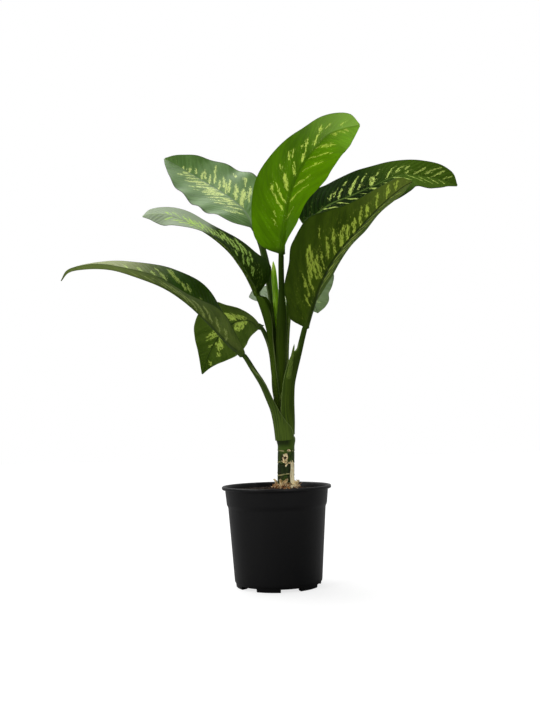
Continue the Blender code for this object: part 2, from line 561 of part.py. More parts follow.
def turned(name, profile, sides, finish):
    """A solid of revolution about Z from a closed profile that starts and ends on the axis."""
    points, faces = [(0, 0, profile[0][1])], []
    for radius, height in profile[1:-1]:
        for side in range(sides):
            angle = TURN * side / sides
            points.append((radius * math.cos(angle), radius * math.sin(angle), height))
    points.append((0, 0, profile[-1][1]))
    ring_count = len(profile) - 2
    top = len(points) - 1
    for side in range(sides):
        after = (side + 1) % sides
        faces.append((0, 1 + after, 1 + side))
        last = 1 + (ring_count - 1) * sides
        faces.append((top, last + side, last + after))
    for ring in range(ring_count - 1):
        for side in range(sides):
            after = (side + 1) % sides
            a, b = 1 + ring * sides + side, 1 + ring * sides + after
            faces.append((a, b, b + sides, a + sides))
    return mesh_object(name, points, faces, finish)


def inner_radius(height):
    """Inside radius of the pot's wall at a height."""
    if height >= COLLAR_FOOT:
        share = (height - COLLAR_FOOT) / (LIP_TOP - LIP_HEIGHT - COLLAR_FOOT)
        return COLLAR_FOOT_RADIUS + share * (COLLAR_TOP_RADIUS - COLLAR_FOOT_RADIUS) - WALL
    if height >= WALL_TOP:
        share = (height - WALL_TOP) / (COLLAR_FOOT - WALL_TOP)
        return WALL_TOP_RADIUS + share * (COLLAR_FOOT_RADIUS - WALL_TOP_RADIUS) - WALL
    share = (height - WALL_FOOT) / (WALL_TOP - WALL_FOOT)
    return WALL_FOOT_RADIUS + share * (WALL_TOP_RADIUS - WALL_FOOT_RADIUS) - WALL


def make_pot(finish):
    lip_low = LIP_TOP - LIP_HEIGHT
    profile = [(0, 0), (PAD_RADIUS, 0), (PAD_RADIUS + 1, BASE_UNDERSIDE), (FOOT_RING_INNER, BASE_UNDERSIDE),
               (FOOT_RING_INNER + 1, 0), (FOOT_RADIUS - 1, 0), (FOOT_RADIUS, 1), (FOOT_RADIUS + 0.6, WALL_FOOT - 2),
               (WALL_FOOT_RADIUS, WALL_FOOT), (WALL_TOP_RADIUS, WALL_TOP), (COLLAR_FOOT_RADIUS, COLLAR_FOOT),
               (COLLAR_TOP_RADIUS, lip_low), (LIP_RADIUS - 1.4, lip_low), (LIP_RADIUS, lip_low + 1.5),
               (LIP_RADIUS, LIP_TOP - 2), (LIP_RADIUS - 1.6, LIP_TOP), (LIP_RADIUS - 4.5, LIP_TOP),
               (inner_radius(lip_low), lip_low - 1), (inner_radius(COLLAR_FOOT), COLLAR_FOOT),
               (inner_radius(WALL_TOP), WALL_TOP), (inner_radius(WALL_FOOT + 2), WALL_FOOT + 2),
               (inner_radius(WALL_FOOT) - 2, BASE_TOP), (0, BASE_TOP)]
    pot = turned("pot", profile, POT_SIDES, finish)
    cutters = []
    for i in range(NOTCHES):
        turn = NOTCH_FIRST + TURN * i / NOTCHES
        cutters += [notch_cutter(turn, finish), drain_cutter(turn, finish)]
    combine(pot, cutters, "DIFFERENCE")
    tidy(pot)
    return pot


def notch_cutter(turn, finish):
    """A wedge that opens the foot ring to the outside."""
    inner, outer = FOOT_RING_INNER - 2, FOOT_RADIUS + 6
    points = []
    for height in (-1, NOTCH_HEIGHT):
        for radius, angle in ((inner, -0.5), (outer, -0.5), (outer, 0.5), (inner, 0.5)):
            place = turn + angle * NOTCH_ANGLE
            points.append((radius * math.cos(place), radius * math.sin(place), height))
    return mesh_object("notch", points, rings_to_faces(2, 4), finish)


def drain_cutter(turn, finish):
    sides = 10
    points = []
    for height in (BASE_UNDERSIDE - 2, BASE_TOP + 2):
        for side in range(sides):
            angle = TURN * side / sides
            points.append((DRAIN_CIRCLE * math.cos(turn) + DRAIN_RADIUS * math.cos(angle),
                           DRAIN_CIRCLE * math.sin(turn) + DRAIN_RADIUS * math.sin(angle), height))
    return mesh_object("drain", points, rings_to_faces(2, sides), finish)


def soil_height(x, y):
    """Top of the soil: a low mound round the cane with small lumps."""
    cane_x = CANE_AXIS[1][0]
    from_cane = math.hypot(x - cane_x, y)
    mound = SOIL_MOUND * math.exp(-(from_cane / SOIL_MOUND_REACH) ** 2)
    lumps = math.sin(0.21 * x + 1.3) * math.cos(0.17 * y - 0.4) + 0.6 * math.sin(0.37 * y + 0.11 * x)
    return SOIL_LEVEL + mound + SOIL_LUMP * 0.6 * lumps


def make_soil(finish):
    """The potting mix, filling the pot, with a plain hole that the cane stands in."""
    floor = BASE_TOP + GAP
    sides = POT_SIDES
    profile = [(inner_radius(WALL_FOOT) - 2 - GAP, floor), (inner_radius(WALL_FOOT + 2) - GAP, WALL_FOOT + 2),
               (inner_radius(WALL_TOP) - GAP, WALL_TOP), (inner_radius(COLLAR_FOOT) - GAP, COLLAR_FOOT)]
    points = [(0, 0, floor)]
    for radius, height in profile:
        points += [(radius * math.cos(TURN * s / sides), radius * math.sin(TURN * s / sides), height)
                   for s in range(sides)]
    rings = len(profile)
    for radius in (inner_radius(SOIL_LEVEL) - GAP, 76, 62, 48, 34, 18):
        for s in range(sides):
            x, y = radius * math.cos(TURN * s / sides), radius * math.sin(TURN * s / sides)
            points.append((x, y, soil_height(x, y) if radius < 80 else SOIL_LEVEL - 2))
        rings += 1
    points.append((0, 0, soil_height(0, 0)))
    faces = []
    for s in range(sides):
        faces.append((0, 1 + (s + 1) % sides, 1 + s))
        last = 1 + (rings - 1) * sides
        faces.append((len(points) - 1, last + s, last + (s + 1) % sides))
    for ring in range(rings - 1):
        for s in range(sides):
            a, b = 1 + ring * sides + s, 1 + ring * sides + (s + 1) % sides
            faces += [(a, b, b + sides), (a, b + sides, a + sides)]
    soil = mesh_object("soil", points, faces, finish)
    combine(soil, [make_cane(finish, "cut_cane", GAP)], "DIFFERENCE")
    tidy(soil)
    return soil


def make_tuft(finish):
    """Husk and old root stubs lying on the soil round the cane."""
    cane_x = CANE_AXIS[1][0]
    inner = CANE_RADIUS + GAP + 0.2
    shares = (0.0, 0.35, 0.7, 1.0)
    low, high = [], []
    for column in range(TUFT_COLUMNS):
        angle = TURN * column / TUFT_COLUMNS
        jag = math.sin(3 * angle + 0.7) + 0.8 * math.sin(7 * angle) + (0.5 if column % 2 else -0.5)
        reach = TUFT_REACH[0] + TUFT_REACH[1] * jag / 2.3
        for share in shares:
            radius = inner + reach * share
            x, y = cane_x + radius * math.cos(angle), radius * math.sin(angle)
            ground = soil_height(x, y) + 1.0
            rise = TUFT_HEIGHT * (1 - share ** 1.5) * (0.75 + 0.25 * jag / 2.3)
            low.append((x, y, ground))
            high.append((x, y, ground + 0.9 + rise))
    points = low + high
    across = len(shares)
    faces = []
    for column in range(TUFT_COLUMNS):
        here, there = column * across, (column + 1) % TUFT_COLUMNS * across
        lift = len(low)
        for k in range(across - 1):
            faces += [(here + k, there + k, there + k + 1), (here + k, there + k + 1, here + k + 1)]
            faces += [(lift + here + k, lift + here + k + 1, lift + there + k + 1),
                      (lift + here + k, lift + there + k + 1, lift + there + k)]
        faces += [(here, here + lift, there + lift), (here, there + lift, there)]
        k = across - 1
        faces += [(here + k, there + k, there + k + lift), (here + k, there + k + lift, here + k + lift)]
    tuft = mesh_object("root_tuft", points, faces, finish)
    roots = [root_stub(i, cane_x, inner, finish) for i in range(ROOTS)]
    combine(tuft, roots, "UNION")
    tidy(tuft)
    return tuft


def root_stub(i, cane_x, inner, finish):
    """One short root that leaves the husk and bends down to the soil."""
    angle = TURN * (i + 0.3 * math.sin(5 * i)) / ROOTS
    start = inner + 2.2
    bend = 0.35 * math.sin(3 * i + 1)
    points = []
    rings = 5
    for ring in range(rings):
        share = ring / (rings - 1)
        radius = start + ROOT_LENGTH * (0.8 + 0.2 * math.sin(2 * i)) * share
        place = angle + bend * share
        x, y = cane_x + radius * math.cos(place), radius * math.sin(place)
        thick = ROOT_RADIUS * (1 - 0.55 * share)
        z = soil_height(x, y) + 1.0 + thick + 2.4 * (1 - share) ** 2
        for side in range(4):
            turn = TURN * side / 4
            points.append((x - thick * math.cos(turn) * math.sin(place), y + thick * math.cos(turn) * math.cos(place),
                           z + thick * math.sin(turn)))
    return mesh_object("root", points, rings_to_faces(rings, 4), finish)


def make_dry_sheath(finish):
    """A dried strip of leaf sheath on the cane's right, its upper end bent away."""
    rings, across = 7, 5
    points = []
    low, high = DRY_SHEATH_SPAN
    for ring in range(rings):
        share = ring / (rings - 1)
        z = low + (high - low) * share
        axis_x = float(between([(p[2], p[0]) for p in CANE_AXIS], z)[0])
        half = DRY_SHEATH_HALF * (0.55 + 0.6 * math.sin(math.pi * (0.15 + 0.7 * share)))
        stand = CANE_RADIUS + SCAR_RISE + GAP + DRY_SHEATH_LIFT * share ** 3
        for face in (0, 1):
            radius = stand + face * DRY_SHEATH_THICKNESS
            for column in range(across):
                sway = half * (2 * column / (across - 1) - 1) / CANE_RADIUS
                place = DRY_SHEATH_AZIMUTH + sway
                points.append((axis_x + radius * math.cos(place), radius * math.sin(place), z))
    return mesh_object("dry_sheath", points, leaf_faces(rings, across), finish)


def main():
    clear_scene()
    black_plastic = material("black_plastic", (0.012, 0.012, 0.013), 0.5)
    potting_mix = material("potting_mix", (0.03, 0.022, 0.016), 0.95)
    cane_skin = material("cane_skin", (0.05, 0.09, 0.03), 0.55)
    husk = material("husk", (0.32, 0.19, 0.09), 0.85)
    dried = material("dried_sheath", (0.62, 0.58, 0.42), 0.8)
    leaf_green = material("leaf_green", (0.05, 0.14, 0.02), 0.42)
    young_green = material("young_green", (0.22, 0.42, 0.03), 0.4)
    make_pot(black_plastic)
    make_soil(potting_mix)
    make_cane(cane_skin)
    make_tuft(husk)
    make_dry_sheath(dried)
    make_leaves(leaf_green)
    spear = make_spear(young_green)
    combine(spear, [make_cane(young_green, "cut_cane", GAP)], "DIFFERENCE")
    tidy(spear)


main()
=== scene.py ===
import math

import bmesh
import bpy
import numpy as np
from mathutils import Matrix, Vector, noise


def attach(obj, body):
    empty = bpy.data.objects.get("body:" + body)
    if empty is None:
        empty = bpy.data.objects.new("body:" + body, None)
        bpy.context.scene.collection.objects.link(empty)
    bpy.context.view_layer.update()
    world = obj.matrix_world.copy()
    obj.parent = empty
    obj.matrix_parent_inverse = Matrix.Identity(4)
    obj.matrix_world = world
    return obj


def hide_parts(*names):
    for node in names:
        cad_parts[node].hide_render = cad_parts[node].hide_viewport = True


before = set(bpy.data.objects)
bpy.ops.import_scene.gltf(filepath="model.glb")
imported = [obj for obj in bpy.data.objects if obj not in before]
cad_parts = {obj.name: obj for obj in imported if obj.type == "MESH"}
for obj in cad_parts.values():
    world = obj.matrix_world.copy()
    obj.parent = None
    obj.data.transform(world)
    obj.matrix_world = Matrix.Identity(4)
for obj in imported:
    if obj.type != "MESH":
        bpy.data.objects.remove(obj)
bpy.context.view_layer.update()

mm = 0.001
turn = 2 * math.pi
scene = bpy.context.scene


def linkObject(name, data):
    obj = bpy.data.objects.new(name, data)
    bpy.context.collection.objects.link(obj)
    return obj


def newMesh(name, points, faces, edges=()):  # from points in mm
    mesh = bpy.data.meshes.new(name)
    mesh.from_pydata([tuple(p) for p in np.asarray(points) * mm], edges, faces)
    return mesh


def faceOutwards(mesh, sharpAngle):  # and shade smooth, but for edges sharper than that angle
    shape = bmesh.new()
    shape.from_mesh(mesh)
    bmesh.ops.recalc_face_normals(shape, faces=shape.faces)
    shape.to_mesh(mesh)
    shape.free()
    mesh.shade_smooth()
    mesh.set_sharp_from_angle(angle=math.radians(sharpAngle))


def linkMesh(name, points, faces, material, sharpAngle=50):
    mesh = newMesh(name, np.reshape(points, (-1, 3)), faces)
    mesh.materials.append(material)
    faceOutwards(mesh, sharpAngle)
    return linkObject(name, mesh)


def seat(pieces, node=None):  # on the one body, hiding the CAD node that they replace
    for piece in pieces:
        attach(piece, "root")
    if node:
        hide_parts(node)


def gridFaces(rows, columns, start=0, flip=False, closedRows=False, closedColumns=False, stride=None):
    # quads between neighbouring rows; closed ones run on from the last to the first
    faces = []
    stride = stride or columns
    for row in range(rows - (not closedRows)):
        low, high = start + row * stride, start + (row + 1) % rows * stride
        for column in range(columns - (not closedColumns)):
            after = (column + 1) % columns
            face = (low + column, low + after, high + after, high + column)
            faces.append(face[:1] + face[:0:-1] if flip else face)
    return faces


def sheetFaces(rows, columns):  # a closed sheet: every row holds its upper points and then its lower ones
    stride = 2 * columns
    faces = gridFaces(rows, columns, stride=stride) + gridFaces(rows, columns, columns, True, stride=stride)
    for row in range(rows - 1):
        for point, flip in ((row * stride, True), (row * stride + columns - 1, False)):
            face = (point, point + columns, point + columns + stride, point + stride)
            faces.append(face[:1] + face[:0:-1] if flip else face)
    for point in range(columns - 1):
        far = (rows - 1) * stride + point
        faces.append((point, point + columns, point + columns + 1, point + 1))
        faces.append((far, far + 1, far + 1 + columns, far + columns))
    return faces


def between(stations, places):  # smooth values with no overshoot, from (place, value) pairs
    at = np.array([s[0] for s in stations], float)
    value = np.array([s[1] for s in stations], float).reshape(len(stations), -1)
    places = np.clip(np.atleast_1d(np.asarray(places, float)), at[0], at[-1])
    width = np.diff(at)[:, None]
    slope = np.diff(value, axis=0) / width
    before, after = slope[:-1], slope[1:]
    weightA, weightB = 2 * width[1:] + width[:-1], width[1:] + 2 * width[:-1]
    with np.errstate(all="ignore"):  # flat where the values turn round
        inner = np.where(before * after > 0, (weightA + weightB) / (weightA / before + weightB / after), 0)
    bend = np.vstack([slope[:1], inner, slope[-1:]])
    span = np.clip(np.searchsorted(at, places, side="right") - 1, 0, len(at) - 2)
    step = width[span]
    u = (places - at[span])[:, None] / step
    result = ((1 + 2 * u) * (1 - u) ** 2 * value[span] + u * (1 - u) ** 2 * step * bend[span]
              + u * u * (3 - 2 * u) * value[span + 1] + u * u * (u - 1) * step * bend[span + 1])
    return result[:, 0] if result.shape[1] == 1 else result


def smoothPath(points, perSpan=24):  # a curve through the points, where each lies in it, and its length so far
    given = np.array(points, float)
    padded = np.vstack([2 * given[0] - given[1], given, 2 * given[-1] - given[-2]])
    curve, marks = [], []
    for i in range(1, len(padded) - 2):
        p = padded[i - 1:i + 3]
        k = [0.0]
        for a, b in zip(p, p[1:]):
            k.append(k[-1] + math.sqrt(np.linalg.norm(b - a)))
        t = np.linspace(k[1], k[2], perSpan, endpoint=False)[:, None]

        def blend(first, last, a, b):
            return (k[last] - t) / (k[last] - k[first]) * a + (t - k[first]) / (k[last] - k[first]) * b

        a1, a2, a3 = (blend(j, j + 1, p[j], p[j + 1]) for j in range(3))
        marks.append(len(curve))
        curve.extend(blend(1, 2, blend(0, 2, a1, a2), blend(1, 3, a2, a3)))
    marks.append(len(curve))
    curve = np.array(curve + [given[-1]])
    return curve, marks, np.concatenate([[0], np.cumsum(np.linalg.norm(np.diff(curve, axis=0), axis=1))])


def unit(vectors):
    return vectors / np.linalg.norm(vectors, axis=-1, keepdims=True)


def readPath(curve, arcs, lengths):  # the places at these lengths, and the way the curve runs there
    centre, ahead, behind = (
        np.stack([np.interp(np.clip(lengths + more, 0, arcs[-1]), arcs, curve[:, axis]) for axis in range(3)], 1)
        for more in (0, 2, -2))
    return centre, unit(ahead - behind)


def ease(low, high, x):  # 0 below low, 1 above high, smooth in between
    u = np.clip((np.asarray(x, float) - low) / (high - low), 0, 1)
    return u * u * (3 - 2 * u)


class Value:  # a node's output; + - * / with values or numbers add Math nodes to its tree
    def __init__(self, socket):
        self.socket = socket

    def __add__(self, other):
        return calc("ADD", self, other)

    def __radd__(self, other):
        return calc("ADD", other, self)

    def __sub__(self, other):
        return calc("SUBTRACT", self, other)

    def __rsub__(self, other):
        return calc("SUBTRACT", other, self)

    def __mul__(self, other):
        return calc("MULTIPLY", self, other)

    def __truediv__(self, other):
        return calc("DIVIDE", self, other)

    def __rtruediv__(self, other):
        return calc("DIVIDE", other, self)


class Made:  # a node in a tree: made["Fac"] is that output
    def __init__(self, node):
        self.node = node

    def __getitem__(self, key):
        return Value(self.node.outputs[key])


def give(node, values):  # links or sets inputs; three numbers for a colour are 0 to 255, as it is seen
    for key, value in values.items():
        socket = node.inputs[key]
        if isinstance(value, Value):
            node.id_data.links.new(value.socket, socket)
        elif socket.type == "RGBA" and len(value) == 3:
            parts = [c / 255 for c in value]
            linear = tuple(c / 12.92 if c < 0.04045 else ((c + 0.055) / 1.055) ** 2.4 for c in parts)
            socket.default_value = linear + (1.0,)
        else:
            socket.default_value = value


def addNode(tree, kind, inputs=None, **settings):
    node = tree.nodes.new(kind)
    for key, value in settings.items():
        setattr(node, key, value)
    give(node, inputs or {})
    return Made(node)


def inTree(kind, inputs, output=0, **settings):  # a node beside the ones it reads
    tree = next(v.socket.id_data for v in inputs.values() if isinstance(v, Value))
    return addNode(tree, kind, inputs, **settings)[output]


def calc(operation, *values):
    return inTree("ShaderNodeMath", dict(enumerate(values)), operation=operation)


def fade(value, low, high, start=0.0, end=1.0):
    given = {"Value": value, "From Min": low, "From Max": high, "To Min": start, "To Max": end}
    return inTree("ShaderNodeMapRange", given, interpolation_type="SMOOTHSTEP")


def mix(factor, first, second, how="MIX"):
    return inTree("ShaderNodeMix", {0: factor, 6: first, 7: second}, 2, data_type="RGBA", blend_type=how)


def joinXyz(x, y, z):
    return inTree("ShaderNodeCombineXYZ", {0: x, 1: y, 2: z})


def splitXyz(vector):
    made = addNode(vector.socket.id_data, "ShaderNodeSeparateXYZ", {0: vector})
    return made[0], made[1], made[2]


def noiseOf(vector, scale, detail=2.0, rough=0.5):
    return inTree("ShaderNodeTexNoise", {"Vector": vector, "Scale": scale, "Detail": detail, "Roughness": rough})


def newGroup(name, kind, inputs, outputs):
    tree = bpy.data.node_groups.new(name, kind)
    for way, ends in (("INPUT", inputs), ("OUTPUT", outputs)):
        for label, sort, *value in ends:
            socket = tree.interface.new_socket(label, in_out=way, socket_type="NodeSocket" + sort)
            if value:
                socket.default_value = value[0]
    return tree, Made(tree.nodes.new("NodeGroupInput")), tree.nodes.new("NodeGroupOutput")


def newMaterial(name):
    material = bpy.data.materials.new(name)
    material.use_nodes = True
    return material, material.node_tree, material.node_tree.nodes["Principled BSDF"]


def ownPlace(tree):  # the place on the finished piece, in metres
    return addNode(tree, "ShaderNodeTexCoord")["Object"]


def useGroup(tree, group, values):
    node = tree.nodes.new("ShaderNodeGroup")
    node.node_tree = group
    give(node, values)
    return Made(node)


def finishSurface(shader, colour, rough, specular, height, strength, distance):
    normal = inTree("ShaderNodeBump", {"Height": height, "Strength": strength, "Distance": distance})
    give(shader, {"Base Color": colour, "Roughness": rough, "Specular IOR Level": specular, "Normal": normal})
    return normal


def mixShaders(tree, share, first, second, output="Material Output"):
    both = addNode(tree, "ShaderNodeMixShader", {0: share, 1: first, 2: second})[0]
    give(tree.nodes[output], {"Surface": both})


def settle(name, source, tree, values):  # runs a Geometry Nodes tree on a mesh and keeps the plain result
    holder = linkObject(name + "Source", source)
    step = holder.modifiers.new("build", "NODES")
    step.node_group = tree
    known = {item.name: item.identifier for item in tree.interface.items_tree if item.in_out == "INPUT"}
    for label, value in values.items():
        step[known[label]] = value
    holder.update_tag()
    bpy.context.view_layer.update()
    mesh = bpy.data.meshes.new_from_object(holder.evaluated_get(bpy.context.evaluated_depsgraph_get()))
    mesh.name = name
    bpy.data.objects.remove(holder, do_unlink=True)
    return linkObject(name, mesh)


studio = dict(
    cameraPlace=(-0.0061, -1.407, 0.266), cameraTilt=4.99, cameraRoll=1.34, lens=40,
    backdrop=1.0, roomFront=0.3, roomBack=0.55, roomTop=1.0,
    floorReach=6.0, floorShade=0.32, floorGlow=0.75, floorBounce=0.3, aim=(0.02, 0, 0.4),
    lights=dict(
        topLight=dict(kind="AREA", place=(-0.08, 0.55, 1.9), size=0.8, power=6),
        leftLight=dict(kind="AREA", place=(-1.5, -1.2, 1.1), size=0.9, power=14),
        # a narrow soft light that lifts the cane's foot alone
        footLight=dict(kind="SPOT", place=(0.36, -0.8, 0.46), size=0.12, power=10, cone=13, aim=(0.02, -0.02, 0.19)),
        sun=dict(kind="SUN", place=(-0.8, 0.9, 2.2), power=1.8, softness=50, aim=(0, 0, 0))))


def makeCamera():
    camera = bpy.data.cameras.new("camera")
    camera.lens = studio["lens"]
    camera.sensor_fit = "VERTICAL"
    camera.sensor_height = 36
    camera.clip_end = 50
    holder = linkObject("camera", camera)
    tilt = Matrix.Rotation(math.radians(90 + studio["cameraTilt"]), 4, "X")
    roll = Matrix.Rotation(math.radians(-studio["cameraRoll"]), 4, "Z")
    holder.matrix_world = Matrix.Translation(studio["cameraPlace"]) @ tilt @ roll
    scene.camera = holder


def addLight(name, values):
    light = bpy.data.lights.new(name, values["kind"])
    light.energy = values["power"]
    if values["kind"] == "SUN":
        light.angle = math.radians(values["softness"])
    elif values["kind"] == "SPOT":
        light.spot_size = math.radians(values["cone"])
        light.spot_blend = 1.0
        light.shadow_soft_size = values["size"] / 2
    else:
        light.shape = "DISK"
        light.size = values["size"]
    holder = linkObject(name, light)
    holder.location = values["place"]
    way = Vector(values.get("aim", studio["aim"])) - Vector(values["place"])
    holder.rotation_euler = way.to_track_quat("-Z", "Y").to_euler()


def makeRoom():  # white as the camera sees it, softer as a light, brightest overhead and behind
    white = (1, 1, 1, 1)
    room = bpy.data.worlds.new("room")
    scene.world = room
    room.use_nodes = True
    tree = room.node_tree
    seen = tree.nodes["Background"]
    give(seen, {"Color": white, "Strength": studio["backdrop"]})
    _, y, z = splitXyz(addNode(tree, "ShaderNodeTexCoord")["Generated"])
    level = fade(y, -0.3, 0.6, studio["roomFront"], studio["roomBack"])
    level = calc("MAXIMUM", level, fade(z, 0.35, 0.85) * fade(y, -0.38, 0.05, 0.0, studio["roomTop"]))
    lit = addNode(tree, "ShaderNodeBackground", {"Color": white, "Strength": level})[0]
    ray = addNode(tree, "ShaderNodeLightPath")["Is Camera Ray"]
    mixShaders(tree, ray, lit, Value(seen.outputs[0]), "World Output")


def makeFloor():
    paper, tree, shader = newMaterial("paleFloor")
    give(shader, {"Base Color": (studio["floorShade"],) * 3 + (1,), "Roughness": 0.85, "Specular IOR Level": 0.0,
                  "Emission Color": (1, 1, 1, 1), "Emission Strength": studio["floorGlow"]})
    dim = addNode(tree, "ShaderNodeBsdfDiffuse", {"Color": (studio["floorBounce"],) * 3 + (1,)})[0]
    ray = addNode(tree, "ShaderNodeLightPath")["Is Camera Ray"]
    mixShaders(tree, ray, dim, Value(shader.outputs[0]))
    far = studio["floorReach"] / mm
    mesh = newMesh("floor", [(-far, -far, 0), (far, -far, 0), (far, far, 0), (-far, far, 0)], [(0, 1, 2, 3)])
    mesh.materials.append(paper)
    linkObject("floor", mesh)


makeCamera()
for name, values in studio["lights"].items():
    addLight(name, values)
makeRoom()
makeFloor()
scene.view_settings.view_transform = "Standard"
print("studio ready")


markingForm = dict(  # each noise: how fine from the midrib out, how fine along it, and its seed or its push
    edges=((1.7, 4.6, 1.6), (4.2, 5.2, 1.5), (4.5, 12.0, 0.8)), specks=(3.2, 7.5, 7.0), speckGroups=(0.5, 0.55, 3.0),
    mottle=(0.35, 0.5, 12.0), streaks=(7.0, 0.18, 21.0), veinRise=-0.5, fineVeinRise=-0.16, grainRise=0.12,
    streakRise=0.7)


def makeLeafMarkings():  # cream flecks between the side veins, vein lines, midrib and margin
    tree, g, out = newGroup(
        "leafMarkings", "ShaderNodeTree",
        [("Blade map", "Vector"), ("Blade share", "Vector"), ("Vein gap", "Float", 1.0),
         ("Speckle", "Float", 0.5), ("Raggedness", "Float", 0.8), ("Seed", "Float", 0.0)],
        [(label, "Float") for label in ("Cream", "Vein", "Rib", "Margin", "Mottle", "Stalk", "Streak", "Height")])
    across, vein, fleck = splitXyz(g["Blade map"])
    place, share, _ = splitXyz(g["Blade share"])
    onBlade = fade(place, -0.03, 0.05)

    form = markingForm

    def drawn(sizes, detail=3.0, rough=0.6):  # noise drawn out along the side veins
        return noiseOf(joinXyz(across * sizes[0], vein * sizes[1], g["Seed"] + sizes[2]), 1.0, detail, rough)

    def lines(shift, gap, reach):  # 1 on the lines that leave the midrib a gap apart
        half = g["Vein gap"] * gap
        return fade(calc("PINGPONG", vein + shift, half) / half, reach, 0.0) * onBlade

    # flecks with ragged edges, and fine specks in loose groups
    edge = fleck
    for x, y, push in form["edges"]:
        edge = edge + (drawn((x, y, 0.0), 2.0, 0.5) - 0.5) * (g["Raggedness"] * push)
    flecks = fade(edge, 0.53, 0.62) * fade(fleck, 0.05, 0.2)
    specks = fade(drawn(form["specks"], 1.0, 0.5), 0.655, 0.7) * fade(drawn(form["speckGroups"], 1.0, 0.5), 0.45, 0.6)
    specks = specks * (fade(share, 0.8, 0.5) * g["Speckle"])

    # side veins with finer ones between them, and the midrib, narrower towards the tip
    veinLine, fineLine = lines(0.0, 0.5, 0.22), lines(0.3, 0.083, 0.6)
    ribHalf = inTree("ShaderNodeMapRange", {"Value": place, "From Max": 0.9, "To Min": 0.36, "To Max": 0.08})
    rib = fade(calc("ABSOLUTE", across) / ribHalf, 1.0, 0.55) * onBlade

    stalk = 1.0 - onBlade
    streak = drawn(form["streaks"])
    height = veinLine * form["veinRise"] + fineLine * form["fineVeinRise"]
    height = height + noiseOf(g["Blade map"], 9.0, 3.0, 0.6) * form["grainRise"] + streak * stalk * form["streakRise"]
    give(out, {
        "Cream": calc("MAXIMUM", flecks, specks) * onBlade, "Vein": veinLine, "Rib": rib, "Stalk": stalk,
        "Margin": fade(share, 0.955, 0.985), "Mottle": drawn(form["mottle"]), "Streak": streak, "Height": height})
    return tree


def makeWornPatches():  # patches with crumbled edges: dust, peel and dried skin
    tree, g, out = newGroup(
        "wornPatches", "ShaderNodeTree",
        [("Place", "Vector"), ("Scale", "Float", 100.0), ("Cover", "Float", 0.5), ("Edge", "Float", 0.06)],
        [("Mask", "Float"), ("Grain", "Float")])
    grain = noiseOf(g["Place"], g["Scale"] * 6.0, 3.0, 0.6)
    mixed = noiseOf(g["Place"], g["Scale"], 4.0, 0.6) + (grain - 0.5) * 0.25
    least = 1.0 - g["Cover"]
    give(out, {"Mask": fade(mixed, least, least + g["Edge"]), "Grain": grain})
    return tree


leafMarkings = makeLeafMarkings()
wornPatches = makeWornPatches()
print("shared effects ready")


leafForm = dict(
    columns=32, stalkRings=80, bladeRings=260,
    edge=0.8, groove=0.5, quilt=0.3,  # margin's thickness, midrib's groove and rise between the veins, mm
    veinBend=0.0035, fleckSlant=0.72, strays=4)
leafLook = dict(
    upper=(30, 60, 10), upperLight=(44, 82, 16), veinColour=(60, 104, 30), veinShow=0.3,
    under=(56, 76, 18), underLight=(74, 96, 26), underVein=(88, 110, 40),
    cream=(240, 252, 180), creamUnder=(206, 228, 110), creamShow=0.95, creamShowUnder=0.85,
    tip=(44, 82, 16), tipFrom=0.6, tipFull=1.2,
    rib=(120, 150, 66), ribUnder=(52, 74, 22), ribShow=0.75, ribDense=0.5, margin=(22, 38, 10),
    stalkFoot=(96, 122, 34), stalkTop=(74, 102, 22), stalkStreak=(60, 84, 22), sheathEdge=(134, 156, 84),
    speckle=0.5, ragged=1.2, gloss=0.42, glossUnder=0.6, specular=0.2,
    translucent=0.3, glow=(0.42, 0.62, 0.06, 1), glowCream=(0.85, 0.95, 0.4, 1))
youngStalk = dict(
    stalkHalf=[(-1, 5), (-.85, 7.5), (-.5, 7.5), (-.3, 5.5), (0, 4.8)],
    stalkThickness=[(-1, 7), (-.8, 8.5), (-.3, 9), (0, 7.5)],
    stalkCurl=[(-1, 30), (-.5, 25), (-.3, 0), (0, 0)])
wideStalk = dict(
    stalkHalf=[(-1, 5), (-.85, 7.5), (-.3, 7.5), (-.12, 6), (0, 5)],
    stalkThickness=[(-1, 7), (-.8, 8.5), (-.2, 9), (0, 7.5)],
    stalkCurl=[(-1, 30), (-.5, 25), (-.3, 10), (0, 0)])
widthStations = (0, .02, .05, .1, .15, .2, .3, .4, .5, .6, .7, .8, .88, .94, 1)

